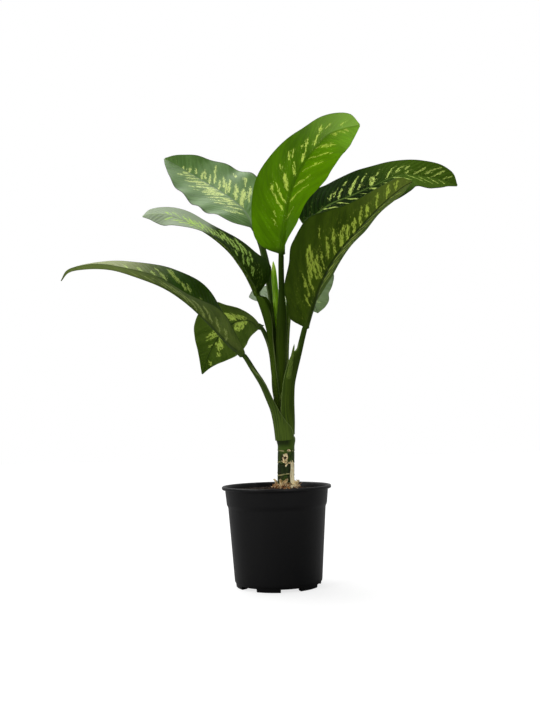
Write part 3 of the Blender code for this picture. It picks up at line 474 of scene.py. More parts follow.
# Oldest first, in mm from the pot's foot. "stalk" runs from the node on the cane to the blade and
# "rib" on to the tip; -1 is the node, 0 the foot of the blade and 1 the tip. "left" and "right" are
# the widths of the halves at the widthStations, 0 where none is given. "facing" is where the upper
# face looks and "fold" the degrees that a half rises. A fleck is (where it starts on the half, 0 to 1,
# the side vein it lies on, by where that leaves the midrib, where it ends, its half width in mm).
# "fleckWidth" scales all those widths, and "seed" places the small strays beside each fleck.
leaves = {}
leaves["lowerLeftLeaf"] = dict(
    node="leaf_lower_left", seed=1, veinGap=10.5, veinLean=.85, wave=1.5, waves=3, waveStart=.3,
    stalk=[(2.5, -6, 247), (.5, -8, 272), (-3, -12, 295), (-9, -17, 316), (-20, -26, 344), (-36, -34, 371)],
    rib=[(-52, -42, 396), (-74, -46, 416), (-102, -52, 446), (-140, -62, 482), (-179, -70, 509), (-225, -76, 528),
        (-270, -82, 541), (-312, -86, 542), (-340, -88, 536), (-352, -88, 522)],
    facing=[(-1, (.95, .3, .05)), (-.5, (.9, .4, .3)), (-.1, (.6, -.1, .8)), (.15, (.4, -.1, .9)),
        (.4, (.2, -.4, .9)), (1, (-.2, -.15, .9))],
    left=(5, 0, 17, 30, 0, 50, 60, 62, 58, 51, 42, 32, 22, 13, 1),
    right=(5, 0, 18, 31, 0, 51, 60, 62, 59, 50, 40, 33, 26, 17, 1),
    foldLeft=[(0, 55), (.15, 35), (.5, 26), (1, 10)], foldRight=[(0, 40), (.5, 22), (1, 15)],
    stalkHalf=[(-1, 38), (-.9, 35), (-.8, 24), (-.66, 14), (-.46, 9), (-.27, 8.5), (-.23, 5.4), (0, 4.8)],
    stalkThickness=[(-1, 3.6), (-.7, 5.5), (-.5, 9), (-.3, 9.5), (-.15, 9), (0, 8)],
    stalkCurl=[(-1, 128), (-.9, 118), (-.8, 85), (-.66, 58), (-.46, 35), (-.27, 25), (-.2, 0), (0, 0)],
    flecksLeft=[(.1, .1, .4, 1.6), (.1, .15, .5, 1.8), (.1, .2, .6, 2.2), (.08, .25, .65, 2.6), (.08, .3, .7, 3),
        (.08, .35, .7, 3), (.08, .4, .65, 2.8), (.1, .45, .6, 2.4), (.1, .52, .6, 2.2), (.1, .6, .5, 2),
        (.1, .68, .5, 1.6)],
    flecksRight=[(.3, .18, .5, 1.4), (.3, .25, .45, 1.4), (.4, .315, .55, 1.8), (.35, .345, .55, 1.8),
        (.5, .37, .8, 3.4), (.3, .45, .75, 2.4), (.25, .5, .6, 1.8), (.3, .57, .6, 1.6), (.3, .64, .6, 1.4)],
    look=dict(under=(80, 96, 34), underLight=(102, 118, 50), cream=(196, 222, 110), creamUnder=(166, 182, 98),
        # the pale tip colour is painted light on the tip's lit underside
        tip=(154, 164, 92), tipFrom=.45, tipFull=.75, ragged=1.5))
leaves["frontRightLeaf"] = dict(
    node="leaf_front_right", seed=2, veinGap=11.5, veinLean=.9, wave=1.5, waves=2.5, waveStart=0, fleckWidth=.78,
    stalk=[(32, -4, 257), (31, -9, 275), (29.5, -13, 296), (29.5, -19, 322), (31, -26, 345), (36, -32, 368),
        (44, -42, 398)],
    rib=[(55, -55, 439), (67, -62, 474), (78, -72, 505), (106, -96, 552), (140, -122, 587), (181, -142, 625),
        (215, -154, 650), (228, -156, 656)],
    facing=[(-1, (-.95, .3, .1)), (-.7, (-.6, .8, .15)), (-.4, (-.45, .8, .3)), (-.1, (-.5, .6, .6)),
        (.3, (-.4, .7, .5)), (1, (-.3, .6, .8))],
    left=(5, 24, 38, 52, 0, 67, 75, 74, 70, 70, 66, 58, 52, 44, 2),
    right=(5, 31, 41, 48, 0, 62, 70, 82, 80, 58, 39, 28, 22, 18, 2),
    foldLeft=[(0, 52), (.3, 42), (.5, 42), (.7, 42), (.9, 36), (1, 32)],
    foldRight=[(0, 10), (.4, 5), (.65, 28), (1, 35)],
    stalkHalf=[(-1, 25), (-.85, 14), (-.7, 8), (-.5, 6), (0, 5)],
    stalkHalfRight=[(-1, 25), (-.85, 22), (-.7, 19), (-.58, 17), (-.4, 15.5), (-.32, 14.5), (-.25, 12), (-.2, 5.4),
        (0, 5)],
    stalkThickness=[(-1, 3.2), (-.8, 5), (-.5, 8), (-.3, 9), (0, 8)],
    stalkCurl=[(-1, 84), (-.85, 60), (-.7, 45), (-.35, 30), (-.15, 0), (0, 0)],
    flecksLeft=[(.1, .06, .6, 2), (.1, .13, .7, 2.4), (.08, .2, .7, 2.6), (.1, .27, .75, 2.6), (.08, .34, .7, 2.8),
        (.1, .42, .7, 2.8), (.1, .5, .7, 2.6), (.08, .58, .6, 2.4), (.1, .66, .6, 2), (.1, .75, .5, 1.8),
        (.1, .84, .5, 1.6)],
    flecksRight=[(.1, .11, .35, 1.6), (.15, .15, .5, 2.2), (.08, .19, .45, 2), (.3, .215, .6, 3.2),
        (.12, .255, .5, 3), (.05, .29, .4, 3), (.45, .24, .62, 1.4), (.05, .33, .35, 1.6), (.5, .33, .65, 1.2),
        (.08, .385, .42, 2.6), (.04, .44, .4, 2.4), (.02, .5, .32, 3), (.02, .55, .3, 3.2), (.02, .6, .35, 2.6),
        (.05, .65, .5, 2.8), (.05, .7, .5, 2.6), (.1, .77, .7, 2.2), (.1, .84, .8, 2.4), (.1, .9, .7, 2)],
    look=dict(under=(56, 74, 12), underLight=(78, 98, 20), creamUnder=(220, 244, 92), ragged=1.6, specular=.1,
        speckle=.8, ribUnder=(46, 66, 12), tip=(124, 138, 60), tipFrom=.6, tipFull=1))
leaves["hangingLeftLeaf"] = dict(
    node="leaf_hanging_left", seed=3, veinGap=10, veinLean=.8, wave=2, waves=3, waveStart=.5,
    stalk=[(11, 10.4, 268), (8, 8.5, 290), (6, 7, 318), (4.2, 7.4, 340), (1, 9, 371), (-6, 8, 415)],
    rib=[(-21, 18, 450), (-39, 35, 467), (-63, 58, 469), (-87, 78, 458), (-107, 92, 437), (-123, 100, 408),
        (-135, 102, 374)],
    facing=[(-1, (.4, -.9, .1)), (-.1, (.5, -.2, .8)), (0, (.3, .3, .9)), (.15, (.1, .5, .85)), (.35, (-.2, .85, .5)),
        (.6, (-.4, .9, .2)), (1, (-.4, .9, 0))],
    left=(4, 0, 22, 34, 0, 50, 54, 58, 60, 56, 43, 26, 15, 8, 1),
    right=(4, 0, 18, 27, 32, 36, 40, 46, 53, 56, 51, 36, 20, 9, 1),
    foldLeft=[(0, 0), (.2, -10), (.4, 0), (.7, -12), (1, -15)], foldRight=[(0, 40), (.12, 15), (.3, -5), (1, 0)],
    flecksLeft=[(.1, .17, .3, 2), (.03, .22, .3, 3), (.05, .27, .45, 3.6), (.04, .32, .35, 3.2), (.1, .42, .25, 1.8),
        (.03, .5, .25, 2.4), (.04, .55, .35, 3), (.05, .6, .3, 2.2), (.05, .7, .2, 1.4)],
    flecksRight=[(.05, .22, .35, 3), (.08, .26, .42, 3.6), (.05, .31, .4, 3.8), (.02, .35, .3, 3.6),
        (.02, .55, .25, 2.4), (.04, .61, .35, 3), (.05, .66, .3, 2.4), (.3, .7, .5, 1.6), (.2, .84, .8, 1.6)],
    look=dict(under=(72, 88, 32), underLight=(98, 114, 50), creamUnder=(224, 250, 112), margin=(134, 150, 84),
        creamShowUnder=1, specular=.15, speckle=.3), **youngStalk)
leaves["backLeaf"] = dict(
    node="leaf_back", seed=4, veinGap=11, veinLean=.85, wave=3, waves=3.5, waveStart=.2,
    stalk=[(20.4, 9.5, 276), (16, 8.5, 296), (13.5, 7.5, 318), (12, 7.7, 340), (12, 11, 371), (11, 14, 415),
        (14, 22, 455)],
    rib=[(22, 40, 489), (36, 75, 507), (53, 115, 521), (70, 155, 523), (85, 190, 517), (94, 215, 502)],
    facing=[(-1, (-.3, -.9, .1)), (-.1, (0, -.7, .7)), (.4, (0, -.2, 1)), (1, (.2, .2, 1))],
    left=(4, 42, 65, 76, 0, 79, 79, 78, 77, 71, 61, 47, 32, 19, 1),
    right=(4, 20, 36, 52, 0, 68, 75, 77, 76, 70, 56, 37, 30, 19, 1),
    foldLeft=[(0, 0), (.15, 5), (.5, 15), (1, 0)], foldRight=[(0, 35), (.5, 35), (1, 20)],
    flecksLeft=[(.05, .1, .35, 1.6), (.03, .18, .4, 2.2), (.05, .25, .5, 2.6), (.04, .33, .45, 2.6),
        (.1, .4, .55, 2.2), (.04, .47, .4, 2.4), (.05, .55, .45, 2.4), (.1, .64, .4, 1.8), (.05, .73, .35, 1.8),
        (.1, .82, .35, 1.4)],
    flecksRight=[(.05, .12, .3, 1.6), (.04, .2, .45, 2.4), (.08, .28, .5, 2.4), (.03, .36, .4, 2.8),
        (.1, .44, .5, 2.2), (.04, .52, .45, 2.4), (.06, .6, .4, 2), (.05, .68, .45, 2), (.1, .78, .35, 1.6)],
    # its pale grey-green colours: the leaf's green lightened with a painted sheen
    look=dict(upper=(98, 124, 74), upperLight=(120, 144, 98), under=(156, 180, 138), underLight=(184, 204, 166),
        underVein=(200, 214, 186), creamUnder=(222, 240, 192), ribUnder=(142, 166, 122), tip=(160, 182, 140),
        margin=(70, 90, 50), specular=.3, gloss=.5), **youngStalk)
leaves["leftLeaf"] = dict(
    node="leaf_left", seed=5, veinGap=10.5, veinLean=.85, wave=1, waves=3, waveStart=0, fleckWidth=.78,
    stalk=[(8.3, -7, 284), (5.5, -6.5, 300), (4, -6, 318), (2.5, -6, 340), (0, -7, 371), (-3, -8.5, 415),
        (-11, -11, 458)],
    rib=[(-26, -14, 505), (-42, -15, 539), (-55, -17, 559), (-71, -19, 580), (-103, -23, 608), (-138, -26, 629),
        (-176, -28, 645), (-207, -30, 648), (-224, -30, 644)],
    facing=[(-1, (.7, .7, .1)), (-.1, (.7, -.3, .6)), (.1, (.5, -.6, .6)), (.5, (.3, -.5, .8)), (1, (0, -.6, .8))],
    left=(4, 0, 30, 40, 0, 50, 53, 0, 54, 50, 43, 37, 26, 16, 1),
    right=(4, 0, 26, 44, 52, 54, 57, 60, 61, 60, 57, 50, 40, 28, 2),
    foldLeft=[(0, 40), (.3, 29), (.55, 19), (.75, 2), (.9, -20), (1, -20)],
    foldRight=[(0, 45), (.3, 5), (.6, -4), (1, 0)],
    stalkHalf=[(-1, 5), (-.85, 7.5), (-.4, 8.5), (-.25, 15), (-.12, 20), (-.05, 16), (-.01, 5), (0, 5)],
    stalkThickness=[(-1, 7), (-.8, 8.5), (-.2, 8.5), (0, 7.5)],
    stalkCurl=[(-1, 30), (-.5, 25), (-.35, 60), (-.2, 100), (-.05, 100), (-.01, 0), (0, 0)],
    flecksLeft=[(.1, .12, .4, 1.8), (.1, .2, .5, 2), (.08, .28, .5, 2.2), (.1, .36, .5, 2.2), (.08, .45, .55, 2.4),
        (.05, .53, .5, 2.4), (.05, .6, .5, 2.6), (.05, .66, .55, 2.8), (.05, .72, .5, 2.2), (.1, .78, .5, 1.8)],
    flecksRight=[(.15, .1, .35, 1.6), (.5, .11, .75, 2), (.2, .15, .5, 2), (.55, .16, .8, 2.4), (.1, .2, .4, 2),
        (.45, .2, .8, 2.6), (.3, .25, .7, 3), (.35, .29, .8, 3), (.1, .27, .25, 1.5), (.3, .33, .7, 2.8),
        (.25, .375, .65, 2.4), (.2, .42, .6, 2.4), (.15, .47, .55, 2.2), (.1, .52, .5, 2.6), (.05, .57, .45, 3.2),
        (.03, .62, .4, 3.6), (.03, .67, .35, 3.4), (.1, .73, .4, 2), (.1, .8, .35, 1.6)],
    # the silvery tip colour is a painted sheen
    look=dict(upper=(24, 42, 4), upperLight=(36, 58, 8), cream=(200, 240, 116), specular=.02, tip=(170, 186, 156),
        tipFrom=.5, tipFull=.6, speckle=1, translucent=.24))
leaves["rightLeaf"] = dict(
    node="leaf_right", seed=6, veinGap=11.5, veinLean=.9, wave=1.5, waves=2.5, waveStart=.6, fleckWidth=.72,
    stalk=[(24, 1.6, 290), (20.5, 1.5, 304), (18, 1.5, 318), (17, 1.5, 340), (21.5, 4, 371), (23.5, 6, 415),
        (26.5, 12, 454), (31, 22, 489), (40, 38, 547), (53, 50, 604)],
    rib=[(67, 60, 644), (91, 72, 671), (117, 85, 692), (156, 105, 712), (207, 122, 738), (261, 135, 761),
        (313, 142, 758), (350, 142, 749), (372, 140, 738)],
    facing=[(-1, (-.95, -.2, .1)), (-.1, (-.5, -.6, .5)), (.5, (-.1, -.6, .8)), (1, (.3, -.7, .7))],
    left=(4, 17, 33, 46, 0, 60, 66, 72, 70, 60, 48, 43, 38, 28, 2),
    right=(4, 20, 34, 47, 0, 61, 67, 69, 70, 69, 67, 61, 47, 28, 2),
    foldLeft=[(0, 20), (.6, 8), (.8, 25), (1, 30)], foldRight=[(0, 10), (.3, -12), (.6, -5), (.75, 3), (1, 0)],
    flecksLeft=[(.15, .2, .4, 1.4), (.25, .225, .5, 1.6), (.05, .26, .5, 2.2), (.55, .27, .7, 1.4),
        (.02, .34, .55, 3.6), (.5, .345, .68, 1.8), (.1, .395, .3, 1.6), (.35, .4, .6, 1.8), (.02, .485, .32, 4.4),
        (.4, .5, .55, 1.6), (.06, .585, .5, 2.8), (.2, .63, .6, 2.2), (.35, .665, .6, 1.8), (.03, .7, .35, 1.4),
        (.05, .75, .6, 2.2), (.1, .8, .75, 2.2), (.05, .85, .7, 2), (.1, .91, .6, 1.6)],
    flecksRight=[(.05, .14, .35, 1.8), (.08, .22, .5, 2.4), (.04, .3, .45, 2.6), (.1, .38, .55, 2.2),
        (.04, .46, .4, 2.6), (.08, .54, .5, 2.2), (.04, .62, .45, 2.4), (.05, .7, .6, 2), (.1, .76, .6, 2),
        (.05, .82, .6, 1.8), (.1, .88, .5, 1.6)],
    # its dark green deepened with painted shade from the leaves above; the paler tip is a painted highlight
    look=dict(upper=(12, 30, 0), upperLight=(20, 42, 2), specular=.005, gloss=.6, translucent=.1, rib=(96, 124, 50),
        ribShow=.7, cream=(200, 224, 110), tip=(76, 106, 26), tipFrom=.45, tipFull=.8), **youngStalk)
leaves["upperLeftLeaf"] = dict(
    node="leaf_upper_left", seed=7, veinGap=10.5, veinLean=.85, wave=3, waves=4.5, waveStart=.4,
    stalk=[(4.6, 1.2, 296), (2.8, 1, 318), (.5, 1.2, 340), (1, 2, 371), (2, 3, 415), (2, 9, 480), (-6, 20, 545),
        (-16, 30, 599)],
    rib=[(-30, 42, 638), (-46, 60, 673), (-67, 78, 700), (-95, 98, 726), (-137, 125, 760), (-178, 145, 791),
        (-208, 155, 812)],
    facing=[(-1, (.95, -.1, .1)), (-.5, (.6, -.8, .1)), (-.1, (.3, -.8, .4)), (.5, (.2, -.7, .7)),
        (1, (.1, -.6, .8))],
    left=(4, 22, 42, 56, 63, 67, 73, 73, 68, 63, 57, 45, 31, 19, 2),
    right=(4, 20, 36, 50, 0, 64, 72, 75, 70, 66, 57, 46, 31, 20, 2),
    foldLeft=[(0, 10), (.5, -6), (1, 0)], foldRight=[(0, 20), (.6, 18), (1, 45)],
    flecksLeft=[(.3, .72, .5, 1.6), (.02, .66, .3, 2), (.02, .6, .4, 3), (.04, .5, .5, 2.4), (.04, .45, .3, 1.8),
        (.05, .42, .45, 2), (.05, .37, .4, 2), (.05, .32, .45, 2), (.05, .26, .4, 2.2), (.33, .21, .46, 2.2),
        (.05, .17, .35, 1.8), (.1, .1, .4, 1.4), (.35, .08, .5, 1.6), (.03, .55, .3, 2.2), (.03, .76, .2, 2),
        (.03, .71, .25, 2), (.02, .47, .2, 2.4), (.02, .39, .2, 2.2), (.02, .29, .25, 2.4), (.03, .23, .2, 2)],
    flecksRight=[(.1, .7, .3, 1.5), (.03, .64, .2, 2), (.1, .61, .45, 2), (.03, .56, .25, 2.2), (.12, .51, .55, 2),
        (.03, .46, .3, 2), (.64, .5, .72, 1.6), (.15, .42, .5, 2.2), (.03, .39, .3, 2), (.1, .36, .5, 2.2),
        (.66, .3, .74, 1.4), (.05, .29, .35, 3.6), (.03, .22, .45, 4.2), (.3, .16, .6, 2.8), (.55, .2, .75, 1.6),
        (.02, .82, .15, 1.6), (.02, .76, .2, 1.8)],
    # pale grey-green upper colours: the leaf's green lightened with a painted sheen
    look=dict(upper=(96, 138, 64), upperLight=(120, 162, 88), veinColour=(140, 174, 108), cream=(238, 255, 148),
        rib=(150, 178, 124), tip=(98, 138, 66), specular=.25, gloss=.45), **wideStalk)
leaves["centreLeaf"] = dict(
    node="leaf_centre", seed=8, veinGap=11, veinLean=.9, wave=1.5, waves=3, waveStart=.1, fleckWidth=.85,
    stalk=[(16, -7.7, 302), (13.8, -7.6, 318), (12, -7.7, 340), (13, -9, 371), (14, -11, 415), (16, -15, 457),
        (17, -18, 500)],
    rib=[(18, -26, 573), (25, -40, 631), (36, -58, 675), (55, -78, 711), (76, -98, 734), (99, -118, 751),
        (124, -132, 756), (149, -142, 757)],
    facing=[(-1, (-.4, .9, .1)), (-.1, (0, 1, .2)), (.4, (-.2, .9, .4)), (1, (-.2, .8, .6))],
    left=(4, 14, 20, 34, 52, 66, 72, 76, 76, 66, 56, 48, 38, 24, 2),
    right=(4, 24, 39, 50, 0, 58, 62, 64, 62, 58, 51, 43, 36, 27, 2),
    foldLeft=[(0, 75), (.2, 60), (.5, 34), (.8, 15), (1, 10)],
    foldRight=[(0, 0), (.3, 14), (.5, 40), (.75, 66), (1, 60)],
    stalkHalf=[(-1, 5), (-.85, 8), (-.55, 9.5), (-.35, 7.5), (-.25, 5.5), (0, 4.8)],
    stalkThickness=youngStalk["stalkThickness"], stalkCurl=youngStalk["stalkCurl"],
    flecksLeft=[(.02, .82, .1, 1.8), (.02, .86, .12, 1.8), (.02, .9, .15, 1.6), (.04, .69, .5, 2.6),
        (.04, .6, .5, 1.6), (.55, .58, .62, 1.2), (.1, .5, .55, 1.5), (.04, .4, .4, 1.8), (.04, .3, .45, 1.6),
        (.1, .19, .4, 1.4)],
    flecksRight=[(.2, .13, .34, 1), (.25, .17, .32, 1), (.04, .25, .42, 1.5), (.46, .26, .52, 1.5),
        (.04, .3, .45, 1.6), (.08, .38, .3, 3.4), (.45, .37, .52, 1.4), (.03, .48, .28, 1.9), (.45, .44, .52, 1.6),
        (.4, .47, .46, 1.2), (.03, .57, .22, 3.2), (.24, .59, .42, 2), (.38, .55, .46, 1.4), (.08, .68, .2, 1.6),
        (.25, .7, .5, 2.8), (.35, .75, .42, 1.4), (.2, .86, .4, 1.4)],
    # the pale tip colour is a painted sheen over the top of the leaf
    look=dict(translucent=.45, glow=(.55, .86, .02, 1), glowCream=(.92, 1, .34, 1), specular=.08, under=(58, 92, 0),
        underLight=(78, 118, 4), creamUnder=(232, 255, 118), creamShowUnder=1, stalkFoot=(96, 126, 26),
        stalkTop=(60, 88, 18), ribUnder=(66, 104, 6), ribShow=.2, ribDense=.1, ragged=1.5, tip=(170, 208, 92),
        tipFrom=.6, tipFull=1.05))


def leafFrames(leaf, places):  # centre, forward, right and upper directions from node (-1) to tip (1)
    curve, marks, arcs = smoothPath(leaf["stalk"] + leaf["rib"])
    foot, total = arcs[marks[len(leaf["stalk"])]], arcs[-1]
    lengths = np.where(places <= 0, (places + 1) * foot, foot + places * (total - foot))
    centre, forward = readPath(curve, arcs, lengths)
    facing = unit(between(leaf["facing"], places))
    upper = unit(facing - (facing * forward).sum(1, keepdims=True) * forward)
    return centre, np.cross(forward, upper), upper, lengths - foot


def leafHalf(leaf, places, along, side):  # one half of every section, from the midrib out
    sign = -1 if side == "left" else 1
    steps = np.arange(leafForm["columns"] + 1) / leafForm["columns"]
    edge = leafForm["edge"]
    place = places[:, None]

    def column(stations):  # a value for each section
        return between(stations, places)[:, None]

    # the stalk and its sheath
    half = column(leaf.get("stalkHalf" + side.title(), leaf["stalkHalf"]))
    thick = column(leaf["stalkThickness"])
    thin = np.minimum(edge, thick)
    depth = thin + (thick - thin) * np.cos(steps * math.pi / 2)

    # the blade
    ribHalf = column([(0, leaf["stalkHalf"][-1][1]), (0.3, 3.2), (1, 1.2)])
    ribThick = column([(0, leaf["stalkThickness"][-1][1]), (0.3, 4.6), (0.7, 2.4), (1, 1.4)])
    widths = [(station, width) for station, width in zip(widthStations, leaf[side]) if width]
    bladeHalf = np.maximum(column(widths), ribHalf * 1.01)
    inner = np.minimum(ribHalf * np.array([0, 0.3, 0.6, 0.9, 1.3, 1.9]),
                       bladeHalf * np.array([0, 0.12, 0.24, 0.36, 0.48, 0.6]))
    rest = np.linspace(0, 1, leafForm["columns"] - 4)[1:]
    bladeAcross = np.hstack([inner, inner[:, -1:] + (bladeHalf - inner[:, -1:]) * rest])
    below = edge / 2 + (ribThick - edge) * np.exp(-(bladeAcross / (0.9 * ribHalf)) ** 2)
    groove = leafForm["groove"] * ease(0, 0.06, place) * (1 - 0.7 * np.clip(place, 0, 1))
    above = edge / 2 - groove * np.exp(-(bladeAcross / (0.55 * ribHalf)) ** 2)

    onStalk = place < 0
    across = np.where(onStalk, half * np.sin(steps * math.pi / 2), bladeAcross)
    above, below = (np.where(onStalk, depth / 2, part) for part in (above, below))
    share = across / across[:, -1:]
    fold, curl = (np.radians(column(leaf[key])) for key in ("fold" + side.title(), "stalkCurl"))
    slope = np.where(onStalk, curl * share, fold)
    middle = (slope[:, 1:] + slope[:, :-1]) / 2
    out, up = (np.hstack([0 * place, np.cumsum(np.diff(across, axis=1) * way(middle), axis=1)])
               for way in (np.cos, np.sin))

    # long waves of the margin, the quilting between side veins and a little unevenness
    phase = leaf["waveStart"] + (0.25 if side == "left" else 0.0)
    swell = np.sin(turn * (leaf["waves"] * place + phase)) * np.minimum(1, place * 5) * (1 - place ** 3)
    lift = leaf["wave"] * swell * (across / np.maximum(bladeHalf, 30)) ** 2
    vein = along[:, None] - leaf["veinLean"] * across - leafForm["veinBend"] * across ** 2
    beyondRib = ease(1.0, 2.6, across / ribHalf)
    quilt = leafForm["quilt"] * -np.cos(turn * vein / leaf["veinGap"]) * beyondRib * (1 - ease(0.75, 1, share))
    uneven = np.sin(vein / 17 + 2.1 * leaf["seed"] + sign) * np.sin(across / 13 + leaf["seed"]) * beyondRib
    ends = ease(0, 0.08, place) * (1 - ease(0.93, 1, place))
    up = up + np.where(onStalk, 0, lift + (quilt + 0.35 * uneven) * ends)
    vein = np.where(onStalk, along[:, None], vein)
    return dict(out=out, up=up, slope=slope, above=above, below=below, across=sign * across, vein=vein, share=share)


def fleckField(leaf, side, places, part, bladeLength):  # 1 in the middle of a fleck, 0.6 at its edge
    across = np.abs(part["across"])
    half = across[:, -1:]
    dice = np.random.default_rng(leaf["seed"] + (side == "left") * 20)
    strokes = []
    for start, origin, end, wide in leaf["flecks" + side.title()]:
        wide *= leaf.get("fleckWidth", 1)
        strokes.append((start, origin * bladeLength, end, wide * 0.85))
        for _ in range(leafForm["strays"]):
            begin = dice.uniform(start, end)
            strokes.append((begin, origin * bladeLength + dice.normal(0, 1.2 + 0.9 * wide),
                            begin + dice.uniform(0.03, 0.14), wide * dice.uniform(0.3, 0.55)))
    field = np.zeros_like(part["vein"])
    for start, vein, end, wide in strokes:
        low, high = start * half, end * half
        t = np.clip((across - low) / np.maximum(high - low, 1e-3), 0, 1)
        sway = 0.5 * wide * np.sin(dice.uniform(4, 9) * t + dice.uniform(0, turn))
        beside = np.abs(part["vein"] - vein - sway) * leafForm["fleckSlant"]
        beyond = np.maximum(low - across, 0) + np.maximum(across - high, 0)
        bulge = 0.6 * np.sin(math.pi * t) + 0.2 * np.sin(dice.uniform(8, 14) * t + dice.uniform(0, turn))
        field = np.maximum(field, 1 - np.hypot(beside, beyond) / (2.4 * wide * (0.55 + bulge)))
    return np.clip(field, 0, 1) * (places > 0.0)[:, None]


def makeLeaf(name, leaf, material):
    even = np.linspace(0, 1, leafForm["bladeRings"])
    places = np.concatenate([np.linspace(-1, -0.02, leafForm["stalkRings"]), even - 0.06 * np.sin(turn * even)])
    centre, right, upper, along = leafFrames(leaf, places)
    halves = []
    for side, sign in (("left", -1), ("right", 1)):
        part = leafHalf(leaf, places, along, side)
        across = right[:, None, :] * (sign * part["out"])[..., None]
        mid = centre[:, None, :] + across + upper[:, None, :] * part["up"][..., None]
        normal = (-sign * right[:, None, :] * np.sin(part["slope"])[..., None]
                  + upper[:, None, :] * np.cos(part["slope"])[..., None])
        normal[:, 0] = upper
        part["top"] = mid + normal * part["above"][..., None]
        part["low"] = mid - normal * part["below"][..., None]
        part["fleck"] = fleckField(leaf, side, places, part, along[-1])
        halves.append(part)
    top, low, across, vein, fleck, share = (
        np.concatenate([halves[0][key][:, :0:-1], halves[1][key]], axis=1)
        for key in ("top", "low", "across", "vein", "fleck", "share"))
    rings, width = share.shape
    obj = linkMesh(name, np.concatenate([top, low], axis=1), sheetFaces(rings, width), material)

    # for the markings: cm from the midrib and along it, the flecks; place, share of the half, underside
    place = np.repeat(places[:, None], width, axis=1)
    bladeMap = np.stack([across / 10, vein / 10, fleck], -1)
    shares = [np.stack([place, share, under + 0 * place], -1) for under in (0, 1)]
    for label, both in (("bladeMap", [bladeMap, bladeMap]), ("bladeShare", shares)):
        layer = obj.data.attributes.new(label, "FLOAT_VECTOR", "POINT")
        layer.data.foreach_set("vector", np.concatenate(both, axis=1).reshape(-1))
    return obj


def leafFinish(name, look, leaf):
    material, tree, shader = newMaterial(name)
    bladeMap, bladeShare = (
        addNode(tree, "ShaderNodeAttribute", attribute_name=label)["Vector"] for label in ("bladeMap", "bladeShare"))
    place, share, under = splitXyz(bladeShare)
    marks = useGroup(tree, leafMarkings, {
        "Blade map": bladeMap, "Blade share": bladeShare, "Vein gap": leaf["veinGap"] / 10,
        "Speckle": look["speckle"], "Raggedness": look["ragged"], "Seed": leaf["seed"] * 3.7})
    isUnder = fade(under, 0.4, 0.6)

    # upper face, and the duller underside
    spread = fade(marks["Mottle"], 0.35, 0.65)
    top = mix(marks["Vein"] * look["veinShow"], mix(spread, look["upper"], look["upperLight"]), look["veinColour"])
    low = mix(spread, look["under"], look["underLight"])
    low = mix(marks["Vein"] * (look["veinShow"] * 0.8), low, look["underVein"])
    # towards the tip the colour turns to the leaf's tip colour: painted sheen and light on most leaves
    green = mix(fade(place, look["tipFrom"], look["tipFull"]), mix(isUnder, top, low), look["tip"])
    # cream flecks, fainter from below, then the midrib and the margin
    creamShow = fade(isUnder, 0.0, 1.0, look["creamShow"], look["creamShowUnder"])
    green = mix(marks["Cream"] * creamShow, green, mix(isUnder, look["cream"], look["creamUnder"]))
    green = mix(marks["Rib"] * look["ribShow"], green, mix(isUnder, look["rib"], look["ribUnder"]))
    green = mix(marks["Margin"] * 0.8, green, look["margin"])
    # stalk: darker towards the cane, streaked along its length, its sheath with a thin pale edge
    stalk = mix(fade(place, -0.95, -0.1), look["stalkFoot"], look["stalkTop"])
    stalk = mix(fade(marks["Streak"], 0.4, 0.7), stalk, look["stalkStreak"])
    stalk = mix(fade(share, 0.93, 0.98) * fade(place, -0.12, -0.2), stalk, look["sheathEdge"])
    rough = fade(isUnder, 0.0, 1.0, look["gloss"], look["glossUnder"]) + (marks["Mottle"] - 0.5) * 0.12
    normal = finishSurface(
        shader, mix(marks["Stalk"], green, stalk), rough, look["specular"], marks["Height"], 0.55, 0.0006)

    # thin enough for some light to pass, but for the midrib and the stalk
    dense = calc("MAXIMUM", marks["Rib"] * look["ribDense"], marks["Stalk"])
    dense = calc("MAXIMUM", dense, marks["Vein"] * 0.12) + fade(marks["Mottle"], 0.3, 0.7, 0.12, 0.0)
    through = mix(dense, mix(marks["Cream"], look["glow"], look["glowCream"]), (0, 0, 0, 1))
    glow = addNode(tree, "ShaderNodeBsdfTranslucent", {"Color": through, "Normal": normal})[0]
    mixShaders(tree, look["translucent"], Value(shader.outputs[0]), glow)
    return material


print("growing leaves")
for name, leaf in leaves.items():
    finish = leafFinish(name + "Green", {**leafLook, **leaf["look"]}, leaf)
    piece = makeLeaf(name, leaf, finish)
    seat([piece], leaf["node"])
    print("  ", name, len(piece.data.polygons), "faces")


newLeaf = dict(
    path=[(8.7, 0, 343), (9, -1, 415), (8, -4, 470), (6, -5, 515), (3.5, -6, 564)],
    radii=[(0, 2.2), (0.3, 2.6), (0.6, 5.0), (0.8, 5.6), (0.9, 4.8), (0.96, 2.8), (1, 0.6)],
    rings=120, sides=40, wraps=1.6, seam=0.55, translucent=0.3,
    green=(180, 222, 20), deep=(136, 184, 14), edge=(212, 230, 92))


def linkTube(name, path, radiusAt, sides, shares, material, sharpAngle=60):
    curve, _, arcs = smoothPath(path)
    shares = np.asarray(shares, float)
    centre, forward = readPath(curve, arcs, shares * arcs[-1])
    across = unit(np.cross(forward, [0.0, 1.0, 0.0]))
    deep = np.cross(forward, across)
    angle = turn * np.arange(sides) / sides
    ring = across[:, None] * np.cos(angle)[None, :, None] + deep[:, None] * np.sin(angle)[None, :, None]
    radius = radiusAt(shares[:, None], angle[None, :], centre)
    points = centre[:, None] + ring * np.broadcast_to(radius, ring.shape[:2])[..., None]
    rings = len(shares)
    faces = gridFaces(rings, sides, closedColumns=True)
    faces += [tuple(reversed(range(sides))), tuple(range((rings - 1) * sides, rings * sides))]
    return linkMesh(name, points, faces, material, sharpAngle)


